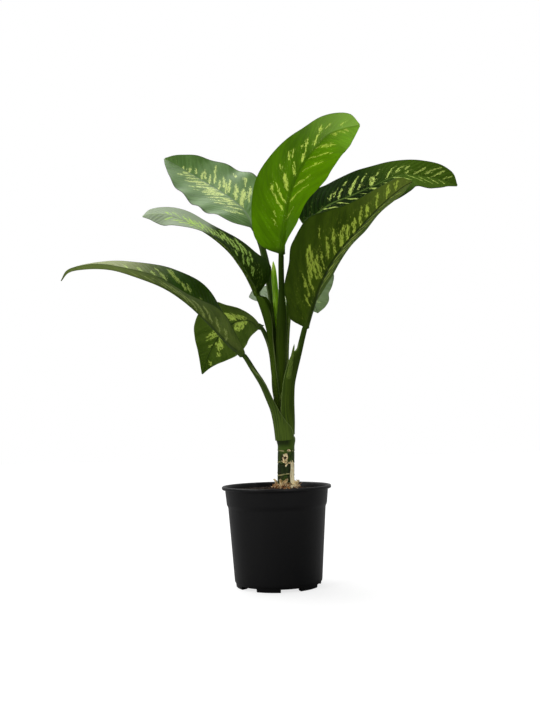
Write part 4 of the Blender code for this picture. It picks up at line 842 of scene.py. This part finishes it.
def makeNewLeaf():
    def radius(share, angle, centre):
        base = between(newLeaf["radii"], share[:, 0])[:, None]
        roll = (angle / turn + newLeaf["wraps"] * share) % 1.0
        lip = newLeaf["seam"] * np.exp(-((roll - 0.06) / 0.05) ** 2) * np.minimum(1, base / 4)
        return base * (1 - 0.06 * roll) + lip * ease(0.25, 0.5, share)

    material, tree, shader = newMaterial("rolledLeafGreen")
    x, y, z = splitXyz(ownPlace(tree))
    lines = noiseOf(joinXyz(x * 700, y * 700, z * 40), 1.0, 3.0, 0.6)
    tone = mix(fade(lines, 0.35, 0.65), newLeaf["deep"], newLeaf["green"])
    tone = mix(fade(z, 0.535, 0.56), tone, newLeaf["edge"])
    finishSurface(shader, tone, 0.38, 0.5, lines, 0.3, 0.0005)
    glow = addNode(tree, "ShaderNodeBsdfTranslucent", {"Color": mix(1.0, tone, (1.4, 1.6, 0.8, 1), "MULTIPLY")})[0]
    mixShaders(tree, newLeaf["translucent"], Value(shader.outputs[0]), glow)
    shares = np.linspace(0, 1, newLeaf["rings"])
    piece = linkTube("rolledNewLeaf", newLeaf["path"], radius, newLeaf["sides"], shares, material)
    seat([piece], "new_leaf")


makeNewLeaf()
print("new leaf rolled")


pot = dict(
    sides=144, lipRadius=95.0, lipTop=170.0, lipHeight=5.8, collarTop=89.6, collarFoot=87.0, collarHeight=139.0,
    wallTop=84.6, wallTopHeight=133.5, wallFoot=75.4, wallFootHeight=9.0, wall=1.8, footRadius=73.0,
    footInner=60.0, underside=6.0, baseTop=8.0, padRadius=16.0,
    notches=6, notchHeight=5.4, notchAngle=30.0, notchDepth=24.0, notchCircle=69.0, firstNotch=-74.0,
    drainCircle=46.0, drainRadius=5.0, drainHeight=7.0,
    plastic=(14, 14, 15), dust=(74, 66, 58), gloss=0.42)


def insideRadius(height):  # inside of the pot's wall at a height
    heights = (pot["wallFootHeight"], pot["wallTopHeight"], pot["collarHeight"], pot["lipTop"] - pot["lipHeight"])
    radii = [pot[key] - pot["wall"] for key in ("wallFoot", "wallTop", "collarFoot", "collarTop")]
    return np.interp(height, heights, radii)


def potProfile():  # the wall's section from the middle of the underside round to the middle inside
    lip, lipTop, top, foot = pot["lipRadius"], pot["lipTop"], pot["wallTop"], pot["wallFoot"]
    collarTop, collar, low, base = pot["collarTop"], pot["collarFoot"], pot["underside"], pot["baseTop"]
    pad, inner, outer, lipLow = pot["padRadius"], pot["footInner"], pot["footRadius"], lipTop - pot["lipHeight"]
    rows = [(0, 0), (8, 0), (pad - 0.8, 0), (pad, 0.6), (pad + 0.8, low - 0.8), (pad + 2, low), (38, low),
            (inner - 1, low), (inner, low - 0.8), (inner + 0.8, 0.5), (inner + 1.4, 0), (outer - 1.4, 0),
            (outer - 0.4, 0.35), (outer, 1.2), (outer + 0.5, 6.2), (outer + 0.9, 7.6), (foot - 0.4, 8.3), (foot, 9.4)]
    rise = pot["wallTopHeight"] - pot["wallFootHeight"]
    rows += [(foot + share * (top - foot), pot["wallFootHeight"] + share * rise)
             for share in np.linspace(0.04, 0.98, 16)]
    rows += [(top, 133.2), (top + 0.4, 134.2), (top + 1.2, 136.2), (collar - 0.4, 138), (collar, 139.2)]
    rows += [(collar + share * (collarTop - collar), 139 + share * (lipLow - 139))
             for share in np.linspace(0.15, 0.95, 6)]
    rows += [(collarTop + 0.1, lipLow - 0.5), (collarTop + 0.6, lipLow - 0.1), (collarTop + 1.4, lipLow)]
    for angle in np.radians(np.linspace(-80, 90, 12)):  # the rolled lip
        higher = 1.2 if angle > 0 else 0
        rows.append((lip - 2.2 + 2.2 * math.cos(angle), lipLow + 2.3 + 2.3 * math.sin(angle) + higher))
    rows += [(lip - 3.4, lipTop - 0.1), (lip - 4.6, lipTop - 0.5), (lip - 5.6, lipTop - 1.6),
             (insideRadius(lipLow) + 0.4, lipLow + 1.4), (insideRadius(lipLow), lipLow - 1)]
    rows += [(insideRadius(h), h) for h in (150, 139, 136, 133, 110, 85, 60, 35, 20, 12)]
    rows += [(insideRadius(9) - 1.2, base + 0.6), (insideRadius(9) - 2.4, base)]
    return rows + [(radius, base) for radius in (55, 38, 20, 0)]


def makePotTree():  # turns the profile round, then cuts the foot's notches and the drain holes
    tree, g, out = newGroup(
        "turnedPot", "GeometryNodeTree",
        [("Profile", "Geometry"), ("Sides", "Int", 96), ("Steps", "Int", 10), ("Notches", "Int", 6),
         ("Notch width", "Float", 0.03), ("Notch height", "Float", 0.005), ("Notch depth", "Float", 0.02),
         ("Notch circle", "Float", 0.07), ("First notch", "Float", 0.0), ("Drain circle", "Float", 0.04),
         ("Drain radius", "Float", 0.005), ("Drain height", "Float", 0.007), ("Finish", "Material")],
        [("Pot", "Geometry")])
    place = addNode(tree, "GeometryNodeInputPosition")[0]
    u, v, _ = splitXyz(place)
    angle = (u + 0.5) * turn
    row = calc("ROUND", (v + 0.5) * (g["Steps"] - 1.0))
    picked = addNode(tree, "GeometryNodeSampleIndex", {"Geometry": g["Profile"], "Index": row},
                     data_type="FLOAT_VECTOR", domain="POINT").node
    give(picked, {next(i for i, s in enumerate(picked.inputs) if s.name == "Value" and s.enabled): place})
    radius, _, height = splitXyz(Value(next(s for s in picked.outputs if s.enabled)))
    spun = joinXyz(radius * calc("COSINE", angle), radius * calc("SINE", angle), height)
    sheet = inTree("GeometryNodeMeshGrid", {
        "Size X": 1.0, "Size Y": 1.0, "Vertices X": g["Sides"] + 1.0, "Vertices Y": g["Steps"]})
    body = inTree("GeometryNodeSetPosition", {"Geometry": sheet, "Position": spun})
    body = inTree("GeometryNodeMergeByDistance", {"Geometry": body, "Distance": 0.000002})

    ring = inTree("GeometryNodePoints", {"Count": g["Notches"]})
    spin = addNode(tree, "GeometryNodeInputIndex")[0] * (turn / g["Notches"]) + g["First notch"]
    twist = joinXyz(0.0, 0.0, spin)
    block = inTree("GeometryNodeMeshCube", {
        "Size": joinXyz(g["Notch depth"], g["Notch width"], g["Notch height"] * 2.0)})
    drill = inTree("GeometryNodeMeshCylinder", {"Vertices": 28, "Radius": g["Drain radius"], "Depth": 0.008})
    cutters = addNode(tree, "GeometryNodeJoinGeometry")
    for shape, spot in ((block, joinXyz(g["Notch circle"], 0.0, 0.0)),
                        (drill, joinXyz(g["Drain circle"], 0.0, g["Drain height"]))):
        moved = inTree("GeometryNodeTransform", {"Geometry": shape, "Translation": spot})
        give(cutters.node, {0: inTree("GeometryNodeInstanceOnPoints", {
            "Points": ring, "Instance": moved, "Rotation": twist})})
    whole = inTree("GeometryNodeRealizeInstances", {"Geometry": cutters[0]})
    cut = inTree("GeometryNodeMeshBoolean", {"Mesh 1": body, "Mesh 2": whole}, operation="DIFFERENCE", solver="EXACT")
    last = inTree("GeometryNodeRealizeInstances", {"Geometry": cut})
    give(out, {0: inTree("GeometryNodeSetMaterial", {"Geometry": last, "Material": g["Finish"]})})
    return tree


def potFinish():  # matt black moulded plastic, a little dust below the lip and on the feet
    material, tree, shader = newMaterial("blackPotPlastic")
    where = ownPlace(tree)
    x, y, z = splitXyz(where)
    worn = useGroup(tree, wornPatches, {"Place": where, "Scale": 38.0, "Cover": 0.46, "Edge": 0.3})
    nearLip, nearFoot = fade(z, 0.150, 0.164), fade(z, 0.02, 0.0)
    dusty = (nearLip * 0.35 + nearFoot * 0.5 + 0.1) * worn["Mask"]
    streaks = noiseOf(joinXyz(calc("ARCTAN2", y, x) * 14.0, 0.0, z * 6.0), 1.0, 3.0, 0.6)
    rough = pot["gloss"] + (streaks - 0.5) * 0.16 + dusty * 0.4
    height = noiseOf(where, 2600.0, 2.0, 0.6) * 0.12 + streaks * 0.5
    finishSurface(shader, mix(dusty * 0.35, pot["plastic"], pot["dust"]), rough, 0.22, height, 0.35, 0.0004)
    return material


def makePot():
    rows = potProfile()
    mesh = newMesh("potProfile", [(r, 0, z) for r, z in rows], [], [(i, i + 1) for i in range(len(rows) - 1)])
    width = 2 * (pot["footRadius"] - 6) * math.sin(math.radians(pot["notchAngle"] / 2))
    piece = settle("growersPot", mesh, makePotTree(), {
        "Sides": pot["sides"], "Steps": len(rows), "Notches": pot["notches"], "Notch width": width * mm,
        "Notch height": pot["notchHeight"] * mm, "Notch depth": pot["notchDepth"] * mm,
        "Notch circle": pot["notchCircle"] * mm, "First notch": math.radians(pot["firstNotch"]),
        "Drain circle": pot["drainCircle"] * mm, "Drain radius": pot["drainRadius"] * mm,
        "Drain height": pot["drainHeight"] * mm, "Finish": potFinish()})
    faceOutwards(piece.data, 40)
    seat([piece], "pot")


makePot()
print("pot turned")


soil = dict(
    level=160.0, mound=6.0, moundReach=34.0, lump=1.2, caneX=16.5, sides=120, floor=8.3, clear=0.3,
    crumbSize=(0.9, 2.9), crumbTilt=1.5, crumbsPerMetre=170000, seed=4,
    dark=(30, 24, 19), mid=(52, 41, 31), light=(88, 70, 50))


def smoothNoise(points, scale, seed=0.0):  # smooth noise, -1 to 1, at points in mm
    return np.array([noise.noise(Vector((p[0] / scale + seed, p[1] / scale, p[2] / scale))) for p in points])


def soilHeight(x, y):
    mound = soil["mound"] * np.exp(-(np.hypot(x - soil["caneX"], y) / soil["moundReach"]) ** 2)
    lumps = np.sin(0.21 * x + 1.3) * np.cos(0.17 * y - 0.4) + 0.6 * np.sin(0.37 * y + 0.11 * x)
    return soil["level"] + mound + soil["lump"] * 0.6 * lumps


def soilFinish():
    material, tree, shader = newMaterial("pottingMix")
    where = ownPlace(tree)
    tone = mix(fade(noiseOf(where, 180.0, 4.0, 0.65), 0.35, 0.62), soil["dark"], soil["mid"])
    fibres = useGroup(tree, wornPatches, {"Place": where, "Scale": 320.0, "Cover": 0.36, "Edge": 0.05})
    tone = mix(fibres["Mask"] * 0.75, tone, soil["light"])
    finishSurface(shader, tone, 0.95, 0.2, noiseOf(where, 750.0, 3.0, 0.6), 0.8, 0.0012)
    return material


def makeSoil(finish):
    sides, gap, floor = soil["sides"], soil["clear"], soil["floor"]
    angle = turn * np.arange(sides) / sides
    walls = [(insideRadius(9) - 2.6, floor)] + [(insideRadius(h) - gap, h) for h in (12, 70, 133, 139, 150)]
    rings = [(radius * np.cos(angle), radius * np.sin(angle), np.full(sides, height)) for radius, height in walls]
    edge = insideRadius(soil["level"]) - gap
    for radius in [edge, edge - 1.5] + list(np.linspace(edge - 4, 3, 26)):
        x, y = radius * np.cos(angle), radius * np.sin(angle)
        flat = np.stack([x, y, 0 * x], 1)
        rough = smoothNoise(flat, 7.0) + 0.5 * smoothNoise(flat, 2.6, 5)
        rings.append((x, y, soilHeight(x, y) + 1.1 * rough - 2.5 * ease(edge - 7, edge, np.full(sides, radius))))
    points = np.vstack([[[0, 0, floor]]] + [np.stack(ring, 1) for ring in rings] + [[[0, 0, float(soilHeight(0, 0))]]])
    faces = gridFaces(len(rings), sides, start=1, closedColumns=True)
    last, total = 1 + (len(rings) - 1) * sides, len(points)
    for s in range(sides):
        after = (s + 1) % sides
        faces += [(0, 1 + after, 1 + s), (total - 1, last + s, last + after)]
    seat([linkMesh("pottingSoil", points, faces, finish, 80)], "soil")


def makeScatterTree(name, shapes):  # crumbs, chips or fibres strewn over a sheet
    tree, g, out = newGroup(
        name, "GeometryNodeTree",
        [("Sheet", "Geometry"), ("Density", "Float", 1000.0), ("Seed", "Int", 1), ("Least size", "Float", 0.001),
         ("Most size", "Float", 0.002), ("Tilt", "Float", 0.5), ("Lift", "Float", 0.0), ("Finish", "Material")],
        [("Pieces", "Geometry")])
    spots = inTree("GeometryNodeDistributePointsOnFaces", {
        "Mesh": g["Sheet"], "Density": g["Density"], "Seed": g["Seed"]}, distribute_method="RANDOM")

    def chance(kind, low, high, offset):
        node = addNode(tree, "FunctionNodeRandomValue", data_type=kind).node
        least, most = [i for i, s in enumerate(node.inputs) if s.enabled][:2]
        give(node, {least: low, most: high, "Seed": g["Seed"] + float(offset)})
        return Value(next(s for s in node.outputs if s.enabled))

    tilt, lean = (chance("FLOAT", g["Tilt"] * -1.0, g["Tilt"], offset) for offset in (1, 2))
    spin = chance("FLOAT", 0.0, turn, 3)
    size = chance("FLOAT", g["Least size"], g["Most size"], 4)
    stretch = chance("FLOAT_VECTOR", (0.6, 0.6, 0.45), (1.3, 1.0, 0.9), 5)
    raised = inTree("GeometryNodeSetPosition", {"Geometry": spots, "Offset": joinXyz(0.0, 0.0, size * g["Lift"])})
    kinds = addNode(tree, "GeometryNodeGeometryToInstance")
    for shape in reversed(shapes(tree)):
        give(kinds.node, {0: shape})
    strewn = inTree("GeometryNodeInstanceOnPoints", {
        "Points": raised, "Instance": kinds[0], "Pick Instance": True, "Instance Index": chance("INT", 0, 7, 6),
        "Rotation": joinXyz(tilt, lean, spin),
        "Scale": inTree("ShaderNodeVectorMath", {0: stretch, "Scale": size}, operation="SCALE")})
    whole = inTree("GeometryNodeRealizeInstances", {"Geometry": strewn})
    give(out, {0: inTree("GeometryNodeSetMaterial", {"Geometry": whole, "Material": g["Finish"]})})
    return tree


def crumbShapes(tree):  # small rough lumps
    made = []
    for seed in (1.0, 5.0, 9.0):
        lump = addNode(tree, "GeometryNodeMeshIcoSphere", {"Radius": 1.0, "Subdivisions": 1})["Mesh"]
        place = addNode(tree, "GeometryNodeInputPosition")[0]
        x, y, z = splitXyz(place)
        rough = (noiseOf(joinXyz(x + seed, y, z), 1.3, 1.0) - 0.5) * 1.4
        out = inTree("ShaderNodeVectorMath", {0: place, "Scale": rough}, operation="SCALE")
        made.append(inTree("GeometryNodeSetPosition", {"Geometry": lump, "Offset": out}))
    return made


def chipShapes(tree):  # thin slivers of bark and husk, and short bent fibres
    made = [addNode(tree, "GeometryNodeMeshCube", {"Size": size, "Vertices X": 3})["Mesh"]
            for size in ((2.6, 1.0, 0.35), (2.0, 0.7, 0.3))]
    for bend in (1.2, -0.9):
        line = addNode(tree, "GeometryNodeCurveQuadraticBezier", {
            "Resolution": 7, "Start": (-2.6, 0.0, 0.0), "Middle": (0.0, bend, 0.5), "End": (2.8, 0.2, -0.1)})[0]
        outline = addNode(tree, "GeometryNodeCurvePrimitiveCircle", {"Resolution": 5, "Radius": 0.17})[0]
        made.append(inTree("GeometryNodeCurveToMesh", {"Curve": line, "Profile Curve": outline, "Fill Caps": True}))
    return made


def strewCrumbs(finish):
    rows, sides, inner, outer, sunkBeyond = 30, 90, 2, 82, 74
    angle = turn * np.arange(sides) / sides
    points = []
    for radius in np.linspace(inner, outer, rows):
        x, y = radius * np.cos(angle), radius * np.sin(angle)
        points.append(np.stack([x, y, soilHeight(x, y) - 1.0 * (radius > sunkBeyond)], 1))
    sheet = newMesh("patch", np.vstack(points), gridFaces(rows, sides, flip=True, closedColumns=True))
    crumbs = settle("soilCrumbs", sheet, makeScatterTree("soilCrumbScatter", crumbShapes), {
        "Density": soil["crumbsPerMetre"], "Seed": soil["seed"], "Least size": soil["crumbSize"][0] * mm,
        "Most size": soil["crumbSize"][1] * mm, "Tilt": soil["crumbTilt"], "Lift": 0.1, "Finish": finish})
    seat([crumbs])
    return crumbs


soilLook = soilFinish()
makeSoil(soilLook)
print("soil filled,", len(strewCrumbs(soilLook).data.polygons), "crumb faces")


cane = dict(
    axis=[(15.5, 0, 90), (16.5, 0, 165), (17.5, 0, 205), (18.5, 0, 248), (17, 0, 268), (14.5, 0, 290), (10.5, 0, 318),
          (8.5, 0, 345)],
    taper=[(250, 14.6), (258, 13), (268, 10), (290, 6.5), (318, 4.6), (345, 3)],
    middle=17.3, radius=14.6, scars=(189, 209, 230), scarRise=0.7, scarHalf=0.7, shoulder=1.8, sides=72,
    green=(56, 78, 14), deep=(22, 32, 6), young=(78, 106, 20), brown=(58, 50, 20),
    scar=(186, 176, 122), wound=(66, 42, 24), woundPlace=(-100, 216), woundSize=(5.5, 8.5))
flakes = dict(  # skin peeling off round the wound: degrees round the cane, height, half width, length, lift, tilt
    each=[(-105, 214, 1.5, 9, 1.2, 8), (-93, 222, 3.1, 5.5, 1.6, -10), (-86, 215, 1.2, 8, 1.8, -14),
          (-88, 205, 1.1, 6, 1.3, -22), (-111, 211, 0.9, 5, 0.8, 60), (-72, 230, 1.2, 6, 1.0, 78),
          (-64, 208.5, 1.3, 6, 1.0, 82), (-96, 209.5, 1.2, 5, 1.2, 40),
          (-112, 175, 1.9, 12, 7.5, 14), (-95, 176, 1.9, 12, 8.5, -16), (-76, 172, 2.4, 9, 9, 58),
          (-38, 172, 2.6, 10, 8, -30), (15, 173, 2.2, 10, 7, 25),
          (62, 175, 1.8, 12, 6, -14), (118, 173, 2.4, 9, 8, 50), (158, 175, 1.8, 11, 6, -22)],
    thick=0.5, rings=14, across=9, pale=(254, 244, 200), shade=(196, 156, 96),
    # small dried scales and a pointed flap higher up: foot, tip, half width and bow
    scales=[((11, -12, 316), (12.5, -20, 330), 2.2, 1.7), ((16.5, -13, 318), (15.5, -19, 328), 1.8, 1.4),
            ((24.5, -33, 350), (36, -49.5, 411), 4.8, 3.6)],
    scalePale=(112, 136, 46), scaleShade=(68, 92, 26))
husk = dict(
    radius=14.9, reach=7.5, vary=3.6, height=6.5, roots=8, rootLength=15.0, rootRadius=1.3, seed=11,
    columns=96, chips=(150000, 170000), chipSize=(1.0, 3.0),
    pale=(255, 240, 196), tan=(196, 146, 88), bark=(104, 64, 40), dark=(40, 26, 18))
driedSheath = dict(
    azimuth=-50, span=(166.0, 210.0), half=3.2, thick=0.7, lift=0.9, rings=46, across=17,
    pale=(255, 250, 214), shade=(214, 190, 132))


def caneSurface(z, angle):  # distance from the axis, with low scar rings that run a little aslant
    radius = np.where(z < cane["taper"][0][0], cane["radius"], between(cane["taper"], z.ravel()).reshape(z.shape))
    for i, scar in enumerate(cane["scars"]):
        aslant = scar + 1.6 * np.sin(angle + 1.6 + 2.2 * i) + 0.5 * np.sin(3 * angle + i)
        radius = radius + cane["scarRise"] * np.exp(-((z - aslant) / cane["scarHalf"]) ** 2)
        radius = radius - 0.45 * np.exp(-((z - aslant + 1.9) / 1.1) ** 2)
    radius = radius + cane["shoulder"] * ease(236, 248, z) * (1 - ease(250, 258, z))
    ribs = 0.16 * np.sin(9 * angle + 0.4 * np.sin(z / 13)) + 0.1 * np.sin(17 * angle + z / 31)
    return radius + ribs * ease(4, 10, radius)


def caneFinish():
    material, tree, shader = newMaterial("caneSkin")
    where = ownPlace(tree)
    x, y, z = splitXyz(where)
    angle = calc("ARCTAN2", y, x - cane["middle"] * mm)
    lines = noiseOf(joinXyz(angle * 5.0, 0.0, z * 90.0), 1.0, 4.0, 0.6)
    tone = mix(fade(lines, 0.35, 0.65), cane["deep"], cane["green"])
    tone = mix(fade(z, 0.222, 0.242), tone, cane["young"])
    blotch = useGroup(tree, wornPatches, {"Place": where, "Scale": 90.0, "Cover": 0.52, "Edge": 0.12})
    tone = mix(fade(z, 0.232, 0.195) * blotch["Mask"] * 0.6, tone, cane["brown"])
    # painted shadow just under the lowest sheath, stronger towards the cane's left side, and darker between the two
    # lower scars
    dark = fade(z, 0.231, 0.2425) * fade(x, 0.03, 0.02, 0.25, 0.85)
    low = fade(z, 0.1885, 0.192) * fade(z, 0.2085, 0.2055)
    tone = mix(calc("MAXIMUM", dark, low * 0.65), tone, cane["deep"])
    ridge = 0.0
    for i, scar in enumerate(cane["scars"]):
        sway = calc("SINE", angle + (1.6 + 2.2 * i)) * 0.0016
        more = calc("SINE", angle * 3.0 + 1.0 * i) * 0.0005
        line = calc("ABSOLUTE", z - (sway + more + scar * mm))
        ridge = calc("MAXIMUM", ridge, fade(line, 0.0011, 0.0005))
    broken = fade(noiseOf(where, 150.0, 3.0), 0.42, 0.56)
    tone = mix(ridge * (broken * 0.9), tone, cane["scar"])
    # the brown wound on the front, with an uneven outline
    beside = (angle - math.radians(cane["woundPlace"][0])) * (cane["radius"] / cane["woundSize"][0])
    above = (z - cane["woundPlace"][1] * mm) * (1000.0 / cane["woundSize"][1])
    away = calc("SQRT", calc("POWER", beside, 2.0) + calc("POWER", above, 2.0)) + (blotch["Grain"] - 0.5) * 1.2
    tone = mix(fade(away, 1.0, 0.75), tone, cane["wound"])
    finishSurface(shader, tone, 0.42 + blotch["Grain"] * 0.2, 0.15, lines, 0.5, 0.0006)
    return material


def makeCane():
    heights = np.concatenate([np.linspace(90, 158, 12), np.arange(160, 252, 0.6), np.linspace(253, 345, 30)])
    curve, _, arcs = smoothPath(cane["axis"])

    def radius(share, angle, centre):
        z = np.repeat(centre[:, 2:3], cane["sides"], 1)
        return caneSurface(z, np.broadcast_to(angle, z.shape))

    shares = np.interp(heights, curve[:, 2], arcs) / arcs[-1]
    seat([linkTube("ringedCane", cane["axis"], radius, cane["sides"], shares, caneFinish())], "cane")


def papery(name, form, scale, pale="pale", shade="shade"):
    pale, shade = form[pale], form[shade]
    material, tree, shader = newMaterial(name)
    where = ownPlace(tree)
    x, y, z = splitXyz(where)
    lines = noiseOf(joinXyz(x * scale, y * scale, z * (scale * 0.2)), 1.0, 4.0, 0.65)
    worn = useGroup(tree, wornPatches, {"Place": where, "Scale": scale * 0.35, "Cover": 0.45, "Edge": 0.15})
    tone = mix(worn["Mask"] * 0.35, mix(fade(lines, 0.3, 0.65), shade, pale), shade)
    finishSurface(shader, tone, 0.8, 0.25, lines, 0.7, 0.0006)
    return material


def linkStrips(name, strips, form, material):  # each strip gives points and their outward ways
    points, faces = [], []
    for placeAt in strips:
        faces += [tuple(len(points) + i for i in face) for face in sheetFaces(form["rings"], form["across"])]
        for v in np.linspace(0, 1, form["rings"]):
            row = [placeAt(v, u) for u in np.linspace(-1, 1, form["across"])]
            points += [p + n * form["thick"] for p, n in row] + [p for p, n in row]
    return linkMesh(name, points, faces, material)


def onCane(angle, out, z, rise):  # a point that far from the cane's axis, and its outward way
    x = float(between([(p[2], p[0]) for p in cane["axis"]], z)[0])
    way = np.array([math.cos(angle), math.sin(angle), rise])
    return np.array([x + out * math.cos(angle), out * math.sin(angle), z]), way


def sheathStrip(v, u):
    low, high = driedSheath["span"]
    z = low + (high - low) * v + (1.6 * math.sin(5.2 * u + 1) + 1.1 * math.sin(11 * u)) * v ** 3
    half = driedSheath["half"] * (0.55 + 0.6 * math.sin(math.pi * (0.15 + 0.7 * v)) + 1.1 * max(0, 0.35 - v) / 0.35)
    half *= 1 + 0.12 * math.sin(9 * v + 2 * u)
    flare = 4.5 * max(0, 0.4 - v) ** 1.5 / 0.25
    out = (cane["radius"] + 0.9 + driedSheath["lift"] * v ** 3 + flare + 0.7 * abs(u) ** 2
           + 0.35 * math.sin(7 * u + 5 * v))
    angle = math.radians(driedSheath["azimuth"]) + 0.2 * max(0, 0.45 - v) + half * u / cane["radius"]
    return onCane(angle, out, z, -0.25 * v)


def flakeStrip(number, azimuth, height, half, length, lift, tilt):
    lean = math.radians(tilt)

    def placeAt(v, u):
        side = half * u * (0.7 + 0.5 * math.sin(math.pi * v + 0.4)) + 0.5 * math.sin(6 * v + number)
        up = length * (v - 0.5) + 0.6 * math.sin(4 * u + 2 * number)
        around = side * math.cos(lean) - up * math.sin(lean)
        z = height + side * math.sin(lean) + up * math.cos(lean)
        out = cane["radius"] + 0.35 + lift * (u * u * 0.7 + v ** 3 * 0.6) + 0.25 * math.sin(9 * u + number)
        return onCane(math.radians(azimuth) + around / cane["radius"], out, z, 0.1)

    return placeAt


def scaleStrip(foot, tip, half, bow):  # a thin pointed scale, hollow towards the stem
    foot, tip = np.array(foot, float), np.array(tip, float)

    def placeAt(v, u):
        wide = half * (1 - v) ** 0.55 * u
        out = 0.35 * wide * wide / half - bow * math.sin(math.pi * v)
        return foot + (tip - foot) * v + np.array([wide, out, 0]), np.array([0.25 * u, -1.0, 0.1])

    return placeAt


def makeStrips():
    peel = [flakeStrip(number, *values) for number, values in enumerate(flakes["each"])]
    scales = [scaleStrip(*values) for values in flakes["scales"]]
    scaleSkin = papery("sheathScaleSkin", flakes, 800.0, "scalePale", "scaleShade")
    pieces = [linkStrips("driedSheath", [sheathStrip], driedSheath, papery("driedSheathSkin", driedSheath, 900.0)),
              linkStrips("peelingSkin", peel, flakes, papery("peelingSkinTan", flakes, 800.0)),
              linkStrips("sheathScales", scales, flakes, scaleSkin)]
    seat(pieces, "dry_sheath")


def makeHusk():
    look = papery("huskFibre", husk, 700.0, "bark", "dark")
    columns, shares = husk["columns"], np.linspace(0, 1, 12)
    low, high = [], []
    for column in range(columns):
        angle = turn * column / columns
        jag = math.sin(3 * angle + 0.7) + 0.8 * math.sin(7 * angle) + 0.5 * math.sin(19 * angle + 2)
        reach = husk["reach"] + husk["vary"] * jag / 2.3
        for share in shares:
            radius = husk["radius"] + 0.2 + reach * share
            x, y = soil["caneX"] + radius * math.cos(angle), radius * math.sin(angle)
            ground = float(soilHeight(x, y)) + 0.4
            rough = noise.noise(Vector((x / 2.2, y / 2.2, 3))) * 1.3
            rise = husk["height"] * (1 - share ** 1.5) * (0.75 + 0.25 * jag / 2.3)
            low.append((x, y, ground))
            high.append((x, y, ground + 0.9 + max(rise + rough * (1 - share), 0)))
    across, lift = len(shares), len(low)
    faces = gridFaces(columns, across, flip=True, closedRows=True)
    faces += gridFaces(columns, across, start=lift, closedRows=True)
    for column in range(columns):
        here, there = column * across, (column + 1) % columns * across
        faces += [(here + k, there + k, there + k + lift, here + k + lift) for k in (0, across - 1)]
    pieces = [linkMesh("huskCollar", low + high, faces, look, 60)]

    sheet = newMesh("huskSheet", high, gridFaces(columns, across, closedRows=True))
    strew = makeScatterTree("huskScatter", chipShapes)
    for (label, pale, shade), many in zip((("paleChip", "pale", "tan"), ("barkChip", "tan", "bark")), husk["chips"]):
        pieces.append(settle(label + "s", sheet.copy(), strew, {
            "Density": many, "Seed": husk["seed"] + many, "Least size": husk["chipSize"][0] * mm,
            "Most size": husk["chipSize"][1] * mm, "Tilt": 1.1, "Lift": 0.35,
            "Finish": papery(label, husk, 500.0, pale, shade)}))

    def radiusAt(share, angle, centre):
        return husk["rootRadius"] * (1 - 0.6 * share) * (1 + 0.12 * np.sin(26 * share + 2 * angle))

    for i in range(husk["roots"]):
        angle = turn * (i + 0.3 * math.sin(5 * i)) / husk["roots"]
        bend = 0.35 * math.sin(3 * i + 1)
        path = []
        for share in (0, 0.25, 0.5, 0.75, 1):
            radius = husk["radius"] + 2.2 + husk["rootLength"] * (0.8 + 0.2 * math.sin(2 * i)) * share
            place = angle + bend * share
            x, y = soil["caneX"] + radius * math.cos(place), radius * math.sin(place)
            thick = husk["rootRadius"] * (1 - 0.55 * share)
            path.append((x, y, float(soilHeight(x, y)) + 0.8 + thick + 2.4 * (1 - share) ** 2))
        pieces.append(linkTube("rootStub" + str(i + 1), path, radiusAt, 10, np.linspace(0, 1, 22), look))
    seat(pieces, "root_tuft")


makeCane()
makeStrips()
makeHusk()
print("cane, husk and dried sheath in place")
